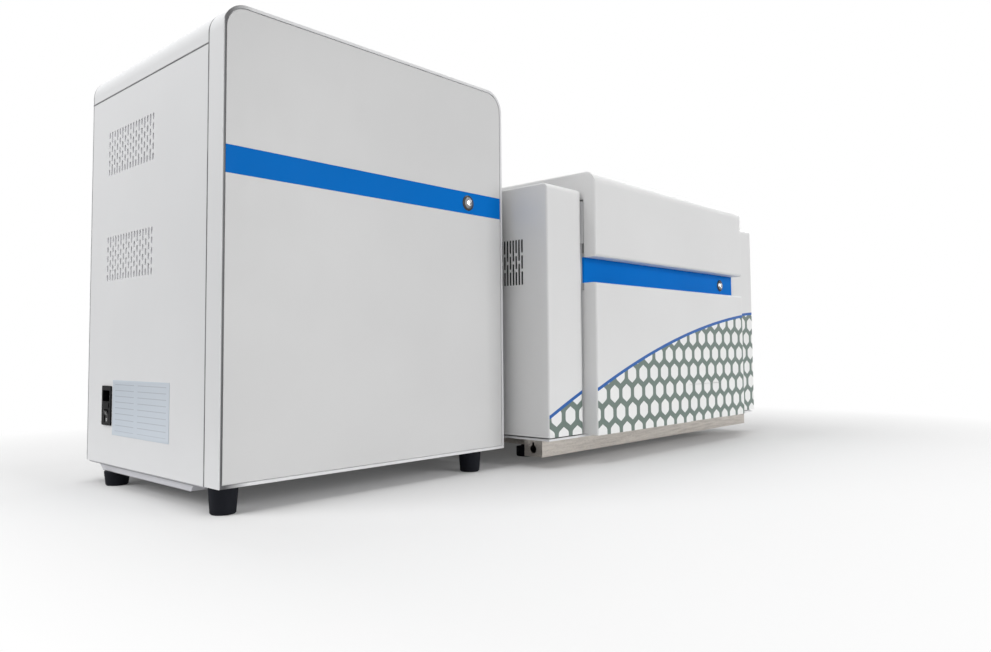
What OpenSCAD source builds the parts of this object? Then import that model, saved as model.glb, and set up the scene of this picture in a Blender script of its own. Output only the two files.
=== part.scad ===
// Two-cabinet flow cytometer: a tall detection cabinet, the tower, stands to the left of
// a wide analyser with a lifting hood, a plate drawer and a sampling probe.
// Millimetres. X runs to the right, Y to the back and Z up. The origin is on the bench,
// under the middle of the whole instrument.

/* [Tower cabinet] */
// Width of the tower's body
tower_w = 512; // [440:1:620]
// Depth of the tower's body, from bezel front to rear panel
tower_d = 408; // [360:1:500]
// Height of the tower's body, without feet
tower_h = 600; // [540:1:740]
// Radius of the tower's two upper edges
tower_corner_r = 33; // [12:1:44]
// Depth of the front bezel, as seen from the side
bezel_d = 36; // [24:1:60]
// Wall of the front bezel, seen as a white line round the front plate
bezel_wall = 4; // [3:0.5:8]
// Thickness of the front plate
front_plate_t = 2.4; // [1.5:0.1:4]
// Sheet thickness of the side, rear and top panels
panel_t = 2; // [1.2:0.1:3]
// Height of the top cover, down to its seam on the side
cover_h = 45.7; // [40:0.1:70]
// Height of the blue stripe's lower edge above the body's bottom
stripe_z = 384; // [300:1:420]
// Height of the blue stripe
stripe_h = 35.5; // [30:0.5:60]
// Height of the optical deck above the body's bottom
deck_z = 230; // [150:1:260]

/* [Tower feet] */
// Height of the rubber feet
tower_foot_h = 33; // [20:1:45]
// Diameter of a foot where it meets the base
foot_top_dia = 36; // [24:1:44]
// Diameter of a foot on the bench
foot_bottom_dia = 31.5; // [20:0.5:40]
// Distance of the front feet behind the bezel front
foot_front_y = 22; // [20:1:60]
// Distance of the rear feet behind the bezel front
foot_back_y = 337; // [240:1:340]
// Distance of the left feet from the left side
foot_left_x = 18; // [18:1:60]
// Distance of the right feet from the left side
foot_right_x = 452; // [380:1:458]

/* [Analyser cabinet] */
// Gap between the tower's right side and the analyser's left side
cabinet_gap = 20.5; // [5:0.5:80]
// How far the analyser's front stands ahead of the tower's front
stagger = 81; // [0:1:150]
// Width of the left column beside the hood
left_column_w = 100; // [90:1:160]
// Width of the hood and of the lower front cover, with their gaps
bay_w = 570; // [520:1:690]
// Width of the right column beside the hood
right_column_w = 106; // [100:1:160]
// Depth of the analyser's body
analyser_d = 600; // [560:1:720]
// Height of the columns above the body's bottom
column_h = 421; // [390:1:500]
// How far the hood's top stands above the columns
hood_rise = 33; // [32:0.5:50]
// How far the hood and the lower cover stand ahead of the columns
front_proud = 25.5; // [20:0.5:40]
// Height of the hood's lower edge above the body's bottom
hood_edge_z = 303.4; // [290:0.1:340]
// Height of the lower front cover's top above the body's bottom
lower_cover_top = 259; // [240:1:280]
// Wall of the moulded covers
cover_wall = 3; // [2.5:0.1:4]
// Radius of the hood's long front edge
hood_front_r = 24; // [8:1:28]
// Radius of the hood's lower lip
hood_lip_r = 6; // [3:0.5:8]
// Radius of the small edges of the hood and the lower cover
moulding_r = 4.5; // [3.5:0.5:7]
// Radius of the columns' edges beside the hood and along the top front
column_r = 12; // [6:1:16]
// Radius of the columns' outer edges
column_outer_r = 4; // [2:0.5:12]
// Gap between the hood and its neighbours on both sides
hood_gap = 0.8; // [0.6:0.1:1]

/* [Analyser base] */
// Height of the rubber pads under the rails
pad_h = 19; // [10:1:30]
// Diameter of the rubber pads
pad_dia = 34; // [20:1:36]
// Height of the stainless rails
rail_h = 27.6; // [22:0.1:40]
// Depth of a rail from front to back
rail_d = 38; // [34:1:60]
// Wall of a rail
rail_wall = 3; // [2:0.5:4]
// Distance of the front rail behind the columns' front
rail_front_y = 22.5; // [8:0.5:60]
// Distance of the rail ends from the cabinet's sides
rail_inset = 8.4; // [4:0.2:20]
// Thickness of the base plate that lies on the rails
base_plate_t = 3.5; // [3:0.1:6]
// Dark seam between the base plate and the covers
seam = 2.5; // [1:0.1:4]
// Diameter of the keyhole in each rail end
keyhole_dia = 13; // [10:0.5:16]
// Width of the keyhole's slot
keyhole_slot = 4.5; // [3:0.1:6]

/* [Hood hinge] */
// Radius of the hinge pins
hinge_pin_r = 2.5; // [2:0.1:3]
// Running gap round the hinge pins
pin_gap = 0.05; // [0.02:0.01:0.1]
// Outer radius of the hinge knuckles
knuckle_r = 5; // [4.5:0.1:6]
// Distance of the hinge axis ahead of the hood's rear face
hinge_back = 10; // [9:0.5:12]
// Height of the hinge axis above the columns' top
hinge_rise = 17; // [16:0.5:17.5]

/* [Plate drawer] */
// Height of the drawer front's top edge above the body's bottom
drawer_top = 71.6; // [66:0.2:90]
// Distance of the drawer's middle from the analyser's left side
drawer_x = 491; // [440:1:520]
// Gap round the drawer front
drawer_gap = 0.6; // [0.4:0.1:1]
// Depth of the sliding stage behind the drawer front
stage_d = 202; // [190:1:230]
// Length of the microplate's seat across the stage
seat_w = 128.4; // [128:0.1:156]
// Depth of the microplate's seat
seat_d = 86; // [85.6:0.1:104]
// Distance of the seat behind the columns' front
seat_y = 8; // [6:1:12]
// Sliding gap beside the stage's tongues
slide_gap = 0.3; // [0.2:0.05:0.5]

/* [Sampling probe] */
// Travel of the probe carriage
probe_travel = 58; // [40:1:70]
// Diameter of the probe needle
needle_dia = 1.8; // [1.2:0.1:3]
// Width of the linear guide
guide_w = 12; // [9:1:15]

/* [Controls] */
// Diameter of the power buttons' chrome rings
ring_dia = 25; // [24:0.5:30]
// Diameter of the power buttons' caps
cap_dia = 18.4; // [14:0.1:19]
// Inward travel of a power button
button_travel = 2; // [1:0.5:2.5]
// Distance of the tower's button from its left side
tower_button_x = 430; // [300:1:460]
// Distance of the analyser's button from its left side
analyser_button_x = 612; // [500:1:620]
// Width of a mains inlet module's flange
inlet_w = 32; // [30:1:38]
// Height of a mains inlet module's flange
inlet_h = 58; // [56:1:66]
// Distance of the tower's inlet behind the bezel front
inlet_y = 332; // [260:1:340]
// Height of the tower's inlet above the body's bottom
inlet_z = 57; // [30:1:120]

/* [Vent grilles] */
// Width of a tower vent slot
slot_w = 4.2; // [2:0.1:4.5]
// Distance between the tower's slot columns
slot_pitch = 9.3; // [8:0.1:11]
// Number of slot columns in each tower vent
slot_columns = 17; // [8:1:17]
// Distance of the tower's vents behind the bezel front
vent_y = 192; // [120:1:195]
// Height of each tower vent
vent_h = 67; // [50:1:72]
// Height of the lower tower vent above the body's bottom
lower_vent_z = 271; // [262:1:290]
// Height of the upper tower vent above the body's bottom
upper_vent_z = 431; // [400:1:450]
// Distance between the analyser's slot columns
side_slot_pitch = 6.5; // [6:0.1:9]
// Width of an analyser vent slot
side_slot_w = 4; // [2:0.1:4.4]
// Number of slot columns in the analyser's side vents
side_slot_columns = 18; // [6:1:20]

/* [Fans] */
// Side of a fan's square frame
fan_size = 92; // [80:1:92]
// Depth of a fan's frame
fan_t = 25; // [20:1:28]
// Gap between a fan's blade tips and its frame
tip_gap = 1.5; // [1:0.1:2.5]
// Number of fan blades
fan_blades = 7; // [5:1:9]

/* [Hidden] */
$fn = 64;
// Paint, metal and plastic colours
paint = [0.90, 0.90, 0.91];
silver = [0.80, 0.80, 0.80];
blue = [0.05, 0.38, 0.72];
steel = [0.72, 0.72, 0.70];
dark = [0.10, 0.10, 0.11];
alloy = [0.62, 0.63, 0.66];
board_green = [0.06, 0.30, 0.16];

// A static seat between two pieces that meet
seat_gap = 0.3;
// The shadow gap between neighbouring panels
shadow_gap = 0.9;
// Overshoot of a cut past a face
past = 1;

// Mains inlet module, drawn with X across, Y up and Z out of the panel
socket_w = 24.6;
socket_h = 16.6;
socket_depth = 16;
socket_y = 43;
rocker_window_w = 13.4;
rocker_window_h = 19.6;
rocker_y = 13.4;
rocker_tilt = 8;
rocker_pivot_depth = 5;
inlet_body_depth = 28;
inlet_flange_t = 2;
rocker_half = rocker_window_h / 2 - 0.9;
rocker_tip_rise = rocker_pivot_depth + 0.6;
// How far the tipped rocker's outer end stands out of the panel
rocker_reach = inlet_flange_t - rocker_pivot_depth + rocker_tip_rise * cos(rocker_tilt)
    + rocker_half * sin(rocker_tilt);

analyser_w = left_column_w + bay_w + right_column_w;
port_reach = 14;
front_y = -stagger - front_proud;
back_y = max(tower_d, analyser_d - stagger + port_reach);
// the tower's mains rocker stands proud of its left side
left_x = -rocker_reach;
right_x = tower_w + cabinet_gap + analyser_w;
tower_x = -(left_x + right_x) / 2;
tower_y = -(front_y + back_y) / 2;
analyser_x = tower_x + tower_w + cabinet_gap;
analyser_y = tower_y - stagger;
base_under = seam + base_plate_t;
// The two cross members under the base plate, which stand on the pads
member_w = 36;
member_rise = 4;
member_x = [left_column_w, left_column_w + bay_w - member_w];
analyser_z = pad_h + rail_h + base_under;
rail_back_y = analyser_d - rail_front_y - rail_d;

// Heights inside the tower
cover_z = tower_h - cover_h;
flange_drop = 12;
flange_front_y = bezel_d + 38;
flange_back_y = foot_back_y + 34;
post_w = 20;
post_t = 2;
spectro_count = 4;
spectro_w = 96;
spectro_d = 190;
spectro_h = 90;
spectro_gap = 18;
spectro_y = bezel_d + 62;

// Power button heights
tower_button_z = stripe_z + stripe_h / 2;
analyser_button_z = (lower_cover_top + hood_edge_z) / 2;
barrel_dia = ring_dia - 3;
button_flange_t = 1.6;
cap_well = 9;

// Hood and hinge
hood_x = left_column_w + hood_gap;
hood_w = bay_w - 2 * hood_gap;
hood_back_y = analyser_d - 2;
hood_top = column_h + hood_rise;
hood_skirt_z = column_h + 8.5;
hood_side_z = column_h - 16;
hinge_y = hood_back_y - hinge_back;
hinge_z = column_h + hinge_rise;
leaf_t = 3;
leaf_w = 54;
hinge_spots = [0.16, 0.84];
fixed_knuckle_w = 22;
moving_knuckle_w = 15.4;
knuckle_gap = 0.4;

// Inner frame of the analyser
frame_t = 2;
frame_x = left_column_w + 0.5;
frame_w = bay_w - 1;
bulkhead_y = 3.5;
recess_lap = 12;
bulkhead_top = hood_edge_z + 24;
side_frame_top = hood_side_z - 3;
hinge_rail_d = 30;
hinge_rail_h = 31;

// Drawer and stage
stage_wall = 2;
tongue_w = 2.4;
door_clear = 0.4;
// the door's opening just passes the stage and its tongues
drawer_w = seat_w + 2 * (stage_wall + tongue_w + door_clear);
drawer_door_t = 3;
drawer_low = -1.8;
stage_z = 10;
stage_t = 10;
stage_w = seat_w + 2 * stage_wall;
stage_front = -front_proud + drawer_door_t;
tongue_t = 2;
tongue_z = stage_z + 2;
runner_w = 7;
runner_top = stage_z + 14;
runner_front = bulkhead_y + frame_t + 1;

// Optical bench and what stands on it
bench_t = 18;
bench_z = 255;
bench_top = bench_z + bench_t;
bench_front = 120;
bench_back_gap = 44;
bench_side_gap = 10;
bench_x = frame_x + bench_side_gap;
bench_w = frame_w - 2 * bench_side_gap;
bench_d = analyser_d - bench_back_gap - bench_front;
mount_h = 22;
laser_count = 5;
laser_w = 36;
laser_pitch = 46;
laser_y = bench_front + 250;
laser_axis_z = bench_top + 26;
cell_y = bench_front + 34;
box_count = 3;
box_w = 76;
box_d = 190;
box_h = 54;
box_y = bench_front + 216;

// Probe
needle_y = seat_y + seat_d / 2;
guide_t = 6;
guide_plate_t = 8;
guide_low = 92;
carriage_h = 40;
// lowered right down, the needle stops short of the seat's floor
needle_tip_z = stage_z + 8 + probe_travel;
carriage_z = needle_tip_z + 92;

// Where the inlets sit
analyser_inlet_x = analyser_w - right_column_w / 2;
analyser_inlet_z = 50;

// Fans
fan_bore_r = fan_size / 2 - 3;
hub_r = 18;
shaft_r = 2;
fan_hole_spread = fan_size / 2 - 4.75;
tower_fan_z = 440;
tower_fan_offset = 90;
analyser_fan_x = left_column_w + 100;
analyser_fan_z = 130;

// Peristaltic pump
pump_x = left_column_w + 92;
pump_z = 130;
pump_bore_r = 30;
pump_shaft_r = 4;
roller_r = 7;
roller_orbit = 20;

// ---- Placing and outline helpers ----

module at_tower() {
    translate([tower_x, tower_y, tower_foot_h]) children();
}

module at_analyser() {
    translate([analyser_x, analyser_y, analyser_z]) children();
}

// A front-view outline (X, Z) given depth towards the back
module front_slab(y, depth) {
    translate([0, y + depth, 0]) rotate([90, 0, 0]) linear_extrude(depth) children();
}

// A side-view outline (Y, Z) given width towards the right
module side_slab(x, width) {
    translate([x, 0, 0]) rotate([90, 0, 90]) linear_extrude(width) children();
}

// The sliver that rounds a convex corner at the origin
module corner_off(r) {
    difference() {
        translate([-past, -past]) square(r + past);
        translate([r, r]) circle(r);
    }
}

// A rectangle whose two upper corners are round
module arch(w, h, r) {
    difference() {
        square([w, h]);
        translate([0, h]) mirror([0, 1]) corner_off(r);
        translate([w, h]) rotate(180) corner_off(r);
    }
}

// A rectangle round the origin with four round corners
module round_rect(w, h, r) {
    difference() {
        square([w, h], center = true);
        for (turn = [0, 180]) rotate(turn) {
            translate([-w / 2, -h / 2]) corner_off(r);
            translate([w / 2, -h / 2]) mirror([1, 0]) corner_off(r);
        }
    }
}

// An upright slot with round ends, its lower end at the origin
module slot(w, length) {
    translate([-w / 2, w / 2]) square([w, length - w]);
    translate([0, w / 2]) circle(d = w, $fn = 16);
    translate([0, length - w / 2]) circle(d = w, $fn = 16);
}

// Staggered upright slots: the bridges of every second column stand half a slot higher, and
// that column's two end slots are longer
module staggered_slots(columns, pitch, w, h, rows, bridge) {
    length = (h - (rows - 1) * bridge) / rows;
    step = length + bridge;
    end_length = 1.5 * length + bridge / 2;
    for (c = [0 : columns - 1]) translate([c * pitch, 0]) {
        if (c % 2 == 0) {
            for (r = [0 : rows - 1]) translate([0, r * step]) slot(w, length);
        } else {
            slot(w, end_length);
            for (r = [0 : 1 : rows - 4])
                translate([0, end_length + bridge + r * step]) slot(w, length);
            translate([0, h - end_length]) slot(w, end_length);
        }
    }
}

// A flat ring
module tube(r_out, r_in, h) {
    difference() {
        cylinder(r = r_out, h = h);
        translate([0, 0, -past]) cylinder(r = r_in, h = h + 2 * past);
    }
}

// ---- Tower ----

module tower_front_outline(inset) {
    translate([inset, inset])
        arch(tower_w - 2 * inset, tower_h - 2 * inset, tower_corner_r - inset);
}

module tower_base_tray() color(paint) at_tower() {
    inner = panel_t + seat_gap;
    // the pan starts behind the front feet
    tray_y = max(bezel_d + shadow_gap, foot_front_y + foot_top_dia / 2 + 1);
    tray_d = tower_d - panel_t - seat_gap - tray_y;
    pan_t = 3;
    pan_inset = inner + panel_t - 0.3;
    lip = 24;
    // floor pan, inset a little from its two turned-up sides
    translate([pan_inset, tray_y, -pan_t]) cube([tower_w - 2 * pan_inset, tray_d, pan_t]);
    for (x = [inner, tower_w - inner - panel_t])
        translate([x, tray_y, -pan_t / 2]) cube([panel_t, tray_d, lip - pan_t / 2]);
    // stepped side rails over the rear feet, with chamfered ends
    foot_reach = foot_top_dia / 2 + 6;
    rails = [[pan_inset + 2, foot_left_x + foot_reach],
        [foot_right_x - foot_reach, tower_w - pan_inset - 2]];
    for (rail = rails) side_slab(rail[0], rail[1] - rail[0]) polygon([
        [flange_front_y, -pan_t], [flange_front_y + 7, -flange_drop],
        [flange_back_y - 12, -flange_drop], [flange_back_y, -pan_t]]);
}

module rubber_foot(height) {
    profile = [[0, 0], [foot_bottom_dia / 2 - 1.5, 0], [foot_bottom_dia / 2, 1.5],
        [foot_top_dia / 2, height - 3], [foot_top_dia / 2, height], [0, height]];
    difference() {
        rotate_extrude() polygon(profile);
        translate([0, 0, -past]) cylinder(r = 4.5, h = 7 + past);
    }
}

module tower_feet() color(dark) at_tower() {
    for (x = [foot_left_x, foot_right_x]) {
        translate([x, foot_front_y, -tower_foot_h]) rubber_foot(tower_foot_h - seat_gap);
        translate([x, foot_back_y, -tower_foot_h]) rubber_foot(tower_foot_h - flange_drop);
    }
}

module side_panel_sheet(cuts) {
    panel_y = bezel_d + shadow_gap;
    panel_d = tower_d - panel_t - shadow_gap - panel_y;
    difference() {
        translate([panel_y, 0]) square([panel_d, cover_z - shadow_gap]);
        if (cuts) children();
    }
}

module tower_left_panel() color(paint) at_tower() side_slab(0, panel_t) side_panel_sheet(true) {
    union() {
        for (z = [lower_vent_z, upper_vent_z]) translate([vent_y, z])
            staggered_slots(slot_columns, slot_pitch, slot_w, vent_h, 5, 4);
        translate([inlet_y - inlet_w / 2 + 2, inlet_z + 2]) square([inlet_w - 4, inlet_h - 4]);
    }
}

module tower_right_panel() color(paint) at_tower()
    side_slab(tower_w - panel_t, panel_t) side_panel_sheet(false);

// Guard rings and spokes over a fan, as the holes between them
module fan_guard_holes(r) {
    spoke = 5;
    difference() {
        union() {
            for (ring = [0 : 2]) {
                outer = r - ring * 11;
                difference() {
                    circle(outer);
                    circle(outer - 7.5);
                }
            }
        }
        for (turn = [0, 45, 90, 135]) rotate(turn) square([2 * r + 2, spoke], center = true);
    }
}

module tower_rear_panel() color(paint) at_tower() front_slab(tower_d - panel_t, panel_t)
    difference() {
        arch(tower_w, tower_h, tower_corner_r);
        for (side = [-1, 1])
            translate([tower_w / 2 + side * tower_fan_offset, tower_fan_z])
                fan_guard_holes(fan_bore_r - 1);
        translate([tower_w / 2 - 8 * slot_pitch, 60])
            staggered_slots(slot_columns, slot_pitch, slot_w, 60, 4, 5);
        translate([tower_w - 120, 130]) square([60, 24], center = true);
    }

module tower_top_cover() color(paint) at_tower() {
    cover_y = bezel_d + shadow_gap;
    cover_d = tower_d - panel_t - shadow_gap - cover_y;
    front_slab(cover_y, cover_d) difference() {
        arch(tower_w, tower_h, tower_corner_r);
        translate([panel_t, -past])
            arch(tower_w - 2 * panel_t, tower_h - panel_t + past, tower_corner_r - panel_t);
        translate([-past, -past]) square([tower_w + 2 * past, cover_z + past]);
    }
}

module tower_front_bezel() color(paint) at_tower() {
    ledge_y = 0.6 + front_plate_t;
    ledge_w = 8;
    front_slab(0, bezel_d) difference() {
        arch(tower_w, tower_h, tower_corner_r);
        tower_front_outline(bezel_wall);
    }
    // the ledge that the front plate lies against
    front_slab(ledge_y, 2) difference() {
        tower_front_outline(bezel_wall - 0.5);
        tower_front_outline(bezel_wall + ledge_w);
    }
}

module button_hole_2d(x, z) {
    translate([x, z]) circle(d = barrel_dia + 0.6);
}

module tower_front_plate() color(silver) at_tower() difference() {
    front_slab(0.6, front_plate_t) difference() {
        tower_front_outline(bezel_wall + shadow_gap);
        button_hole_2d(tower_button_x, tower_button_z);
    }
    // shallow bed for the stripe
    front_slab(-past, past + 1.4) translate([0, stripe_z]) square([tower_w, stripe_h]);
}

module tower_stripe() color(blue) at_tower() front_slab(0.7, 0.7) difference() {
    edge = bezel_wall + shadow_gap;
    translate([edge, stripe_z + 0.2]) square([tower_w - 2 * edge, stripe_h - 0.4]);
    button_hole_2d(tower_button_x, tower_button_z);
}

module tower_frame() color(alloy) at_tower() {
    left = panel_t + seat_gap + panel_t + seat_gap;
    front = bezel_d + 4;
    back = tower_d - panel_t - seat_gap;
    post_h = cover_z - 14;
    // four angle posts
    for (mx = [0, 1], my = [0, 1])
        translate([mx ? tower_w - left : left, my ? back : front, seat_gap])
            mirror([mx, 0, 0]) mirror([0, my, 0]) {
                cube([post_t, post_w, post_h]);
                cube([post_w, post_t, post_h]);
            }
    // rails under the deck and under the top cover, along both sides
    for (mx = [0, 1], z = [deck_z - post_w, post_h - post_w])
        translate([mx ? tower_w - left : left, front, z]) mirror([mx, 0, 0]) {
            cube([post_t, back - front, post_w]);
            translate([0, 0, post_w - post_t]) cube([post_w, back - front, post_t]);
        }
    // tabs on the upper rails, which the top cover slides down over
    tab = panel_t + seat_gap;
    for (mx = [0, 1], y = [0.25, 0.75])
        translate([mx ? tower_w - tab : tab, front + (back - front) * y - 20, post_h - post_w])
            mirror([mx, 0, 0]) cube([left - tab + post_t, 40, post_w + 26]);
}

module tower_optical_deck() color(alloy) at_tower() {
    left = 2 * (panel_t + seat_gap) + post_t + seat_gap;
    front = bezel_d + 26;
    back = tower_d - panel_t - fan_t - 12;
    deck_t = 8;
    translate([0, 0, deck_z + seat_gap]) linear_extrude(deck_t) difference() {
        translate([left, front]) square([tower_w - 2 * left, back - front]);
        // cable slots along the rear edge
        for (x = [0.25, 0.5, 0.75]) translate([tower_w * x, back - 14])
            square([50, 12], center = true);
    }
}

// One grating spectrograph: sealed housing, slit barrel and a finned cooler
module spectrograph(w, d, h) {
    cube([w, d, h]);
    translate([6, 6, h]) cube([w - 12, d - 12, 4]);
    translate([w / 2, 0, h / 2]) rotate([90, 0, 0]) cylinder(r = 18, h = 14);
    translate([w / 2, -14, h / 2]) rotate([90, 0, 0]) cylinder(r = 10, h = 8);
    for (fin = [0 : 7]) translate([10 + fin * (w - 22) / 7, d, 10]) cube([2, 16, h - 20]);
}

module per_spectrograph() {
    row_w = spectro_count * spectro_w + (spectro_count - 1) * spectro_gap;
    for (i = [0 : spectro_count - 1])
        translate([(tower_w - row_w) / 2 + i * (spectro_w + spectro_gap), spectro_y,
            deck_z + 8 + 2 * seat_gap]) children();
}

module tower_spectrographs() color(dark) at_tower()
    per_spectrograph() spectrograph(spectro_w, spectro_d, spectro_h);

// A detector board stands on the lid of each spectrograph
module tower_detector_boards() color(board_green) at_tower()
    per_spectrograph() translate([12, 30, spectro_h + 4 + seat_gap]) {
        cube([spectro_w - 24, 120, 1.6]);
        for (chip = [0 : 3]) translate([14, 10 + chip * 27, 1.6]) cube([18, 18, 2.4]);
        translate([50, 8, 1.6]) cube([8, 100, 9]);
    }

module tower_main_board() color(board_green) at_tower() translate([40, bezel_d + 40, seat_gap]) {
    board_w = 180;
    board_d = 200;
    stand = 8;
    for (x = [8, board_w - 8], y = [8, board_d - 8])
        translate([x, y, 0]) cylinder(r = 3.5, h = stand);
    translate([0, 0, stand]) cube([board_w, board_d, 1.6]);
    translate([60, 70, stand + 1.6]) cube([46, 46, 12]);
    for (i = [0 : 4]) translate([14 + i * 32, 150, stand + 1.6]) cube([24, 16, 3]);
    translate([10, 14, stand + 1.6]) cube([120, 14, 14]);
    for (i = [0 : 3]) translate([150, 40 + i * 22, stand + 1.6]) cylinder(r = 7, h = 16);
}

// A boxed supply with a row of vent slots in its lid
module supply_box(w, d, h) {
    difference() {
        cube([w, d, h]);
        translate([0, 0, h - 4]) linear_extrude(4 + past)
            for (i = [1 : 8]) translate([i * w / 9, 20]) slot(4, d - 40);
    }
    translate([w * 0.2, -9, h * 0.3]) cube([w * 0.6, 9, h * 0.35]);
}

module tower_power_supply() color(alloy) at_tower()
    translate([tower_w - 200, bezel_d + 60, seat_gap]) supply_box(130, 220, 62);

module tower_fibre_port() color(alloy) at_tower()
    translate([tower_w - 120, tower_d + seat_gap, 130]) rotate([-90, 0, 0]) {
        linear_extrude(3) round_rect(84, 40, 5);
        for (i = [-1.5 : 1.5]) translate([i * 15, 0, 3]) tube(5, 2.6, 9);
    }

// ---- Fans ----

module fan_frame() {
    difference() {
        linear_extrude(fan_t) difference() {
            round_rect(fan_size, fan_size, 6);
            circle(fan_bore_r);
            for (x = [-1, 1], y = [-1, 1])
                translate([x * fan_hole_spread, y * fan_hole_spread]) circle(d = 4.4);
        }
    }
    // motor plate on three arms
    for (turn = [90, 210, 330]) rotate(turn) translate([hub_r - 4, -3, 0])
        cube([fan_bore_r - hub_r + 6, 6, 3]);
    difference() {
        union() {
            cylinder(r = hub_r, h = 3);
            cylinder(r = 6, h = 7);
        }
        translate([0, 0, -past]) cylinder(r = shaft_r + pin_gap, h = 8 + 2 * past);
    }
}

module fan_rotor() {
    hub_low = 8;
    hub_h = fan_t - hub_low - 2;
    tip_r = fan_bore_r - tip_gap;
    translate([0, 0, 1]) cylinder(r = shaft_r, h = hub_low);
    translate([0, 0, hub_low]) cylinder(r = hub_r, h = hub_h - 1.5);
    translate([0, 0, hub_low + hub_h - 1.5]) cylinder(r1 = hub_r, r2 = hub_r - 1.5, h = 1.5);
    intersection() {
        translate([0, 0, hub_low + 0.5]) tube(tip_r, hub_r - 2, hub_h - 1.5);
        for (blade = [0 : fan_blades - 1]) rotate(blade * 360 / fan_blades)
            translate([(tip_r + hub_r) / 2, 0, hub_low + hub_h / 2])
                rotate([38, 0, 0]) cube([tip_r - hub_r + 8, 24, 2], center = true);
    }
}

// A fan lies against the inside of a rear wall; its axis, local +Z, points to the back
module at_tower_fan(side) {
    at_tower() translate([tower_w / 2 + side * tower_fan_offset,
        tower_d - panel_t - seat_gap - fan_t, tower_fan_z]) rotate([-90, 0, 0]) children();
}

module at_analyser_fan() {
    at_analyser() translate([analyser_fan_x, analyser_d - cover_wall - seat_gap - fan_t,
        analyser_fan_z]) rotate([-90, 0, 0]) children();
}

module fan_frames() color(dark) {
    for (side = [-1, 1]) at_tower_fan(side) fan_frame();
    at_analyser_fan() fan_frame();
}

module tower_left_fan_rotor() color(dark) at_tower_fan(-1) fan_rotor();

module tower_right_fan_rotor() color(dark) at_tower_fan(1) fan_rotor();

module analyser_fan_rotor() color(dark) at_analyser_fan() fan_rotor();

// ---- Power buttons ----

// Local +Z points out of the panel, whose face is at Z 0
module at_tower_button() {
    at_tower() translate([tower_button_x, 0.6, tower_button_z]) rotate([90, 0, 0]) children();
}

module at_analyser_button() {
    at_analyser() translate([analyser_button_x, 0, analyser_button_z])
        rotate([90, 0, 0]) children();
}

module button_ring() {
    barrel_h = 22;
    rim_r = ring_dia / 2;
    bore_r = cap_dia / 2 + 0.3;
    rotate_extrude() polygon([
        [bore_r, -cap_well], [bore_r, button_flange_t], [rim_r - 1.2, button_flange_t],
        [rim_r, 0.5], [rim_r, 0.1], [barrel_dia / 2, 0.1], [barrel_dia / 2, -barrel_h],
        [0, -barrel_h], [0, -cap_well]]);
}

module button_rings() color(silver) {
    at_tower_button() button_ring();
    at_analyser_button() button_ring();
}

// The domed cap stands in the ring's well with room to travel
module button_cap() {
    rise = 3.2;
    r = cap_dia / 2;
    skirt = -cap_well + button_travel + 0.6;
    dome_r = (r * r + rise * rise) / (2 * rise);
    skirt_top = button_flange_t + 0.4;
    translate([0, 0, skirt]) cylinder(r = r, h = skirt_top - skirt);
    intersection() {
        translate([0, 0, skirt_top + rise - dome_r]) sphere(dome_r);
        translate([0, 0, skirt_top]) cylinder(r = r, h = rise + past);
    }
}

module tower_power_button() color(silver) at_tower_button() button_cap();

module analyser_power_button() color(silver) at_analyser_button() button_cap();

// ---- Mains inlets ----

// Local X across, Y up from the flange's lower edge, Z out of the panel
module at_tower_inlet() {
    at_tower() translate([0, inlet_y, inlet_z]) rotate([90, 0, -90]) children();
}

module at_analyser_inlet() {
    at_analyser() translate([analyser_inlet_x, analyser_d, analyser_inlet_z])
        rotate([90, 0, 180]) children();
}

module inlet_module() {
    body_w = inlet_w - 5;
    body_h = inlet_h - 5;
    difference() {
        union() {
            translate([0, inlet_h / 2, seat_gap / 3]) linear_extrude(inlet_flange_t)
                round_rect(inlet_w, inlet_h, 2);
            translate([-body_w / 2, 2.5, -inlet_body_depth])
                cube([body_w, body_h, inlet_body_depth + 1]);
        }
        translate([0, socket_y, inlet_flange_t - socket_depth]) linear_extrude(socket_depth + past)
            round_rect(socket_w, socket_h, 2.5);
        translate([-rocker_window_w / 2, rocker_y - rocker_window_h / 2, inlet_flange_t - 14])
            cube([rocker_window_w, rocker_window_h, 14 + past]);
        // hole for the rocker's pivot
        translate([-rocker_window_w / 2 - 2, rocker_y, inlet_flange_t - rocker_pivot_depth])
            rotate([0, 90, 0]) cylinder(r = 1.55, h = rocker_window_w + 4);
    }
    // fuse drawer between socket and rocker
    translate([-10, 26.2, inlet_flange_t]) cube([20, 6.6, 0.9]);
}

module power_inlets() color(dark) {
    at_tower_inlet() inlet_module();
    at_analyser_inlet() inlet_module();
}

// The rocker rests tipped towards its lower, off, end
module rocker_paddle() {
    w = rocker_window_w - 0.8;
    reach = rocker_half;
    translate([0, rocker_y, inlet_flange_t - rocker_pivot_depth]) rotate([rocker_tilt, 0, 0]) {
        translate([-w / 2, 0, 0]) rotate([90, 0, 90]) linear_extrude(w) polygon([
            [-reach, rocker_tip_rise], [0, rocker_pivot_depth - 1], [reach, rocker_tip_rise],
            [reach - 1.5, -3], [-reach + 1.5, -3]]);
        translate([-rocker_window_w / 2 - 1.6, 0, 0]) rotate([0, 90, 0])
            cylinder(r = 1.5, h = rocker_window_w + 3.2);
    }
}

module tower_rocker() color(dark) at_tower_inlet() rocker_paddle();

module analyser_rocker() color(dark) at_analyser_inlet() rocker_paddle();

// ---- Analyser base ----

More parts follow.
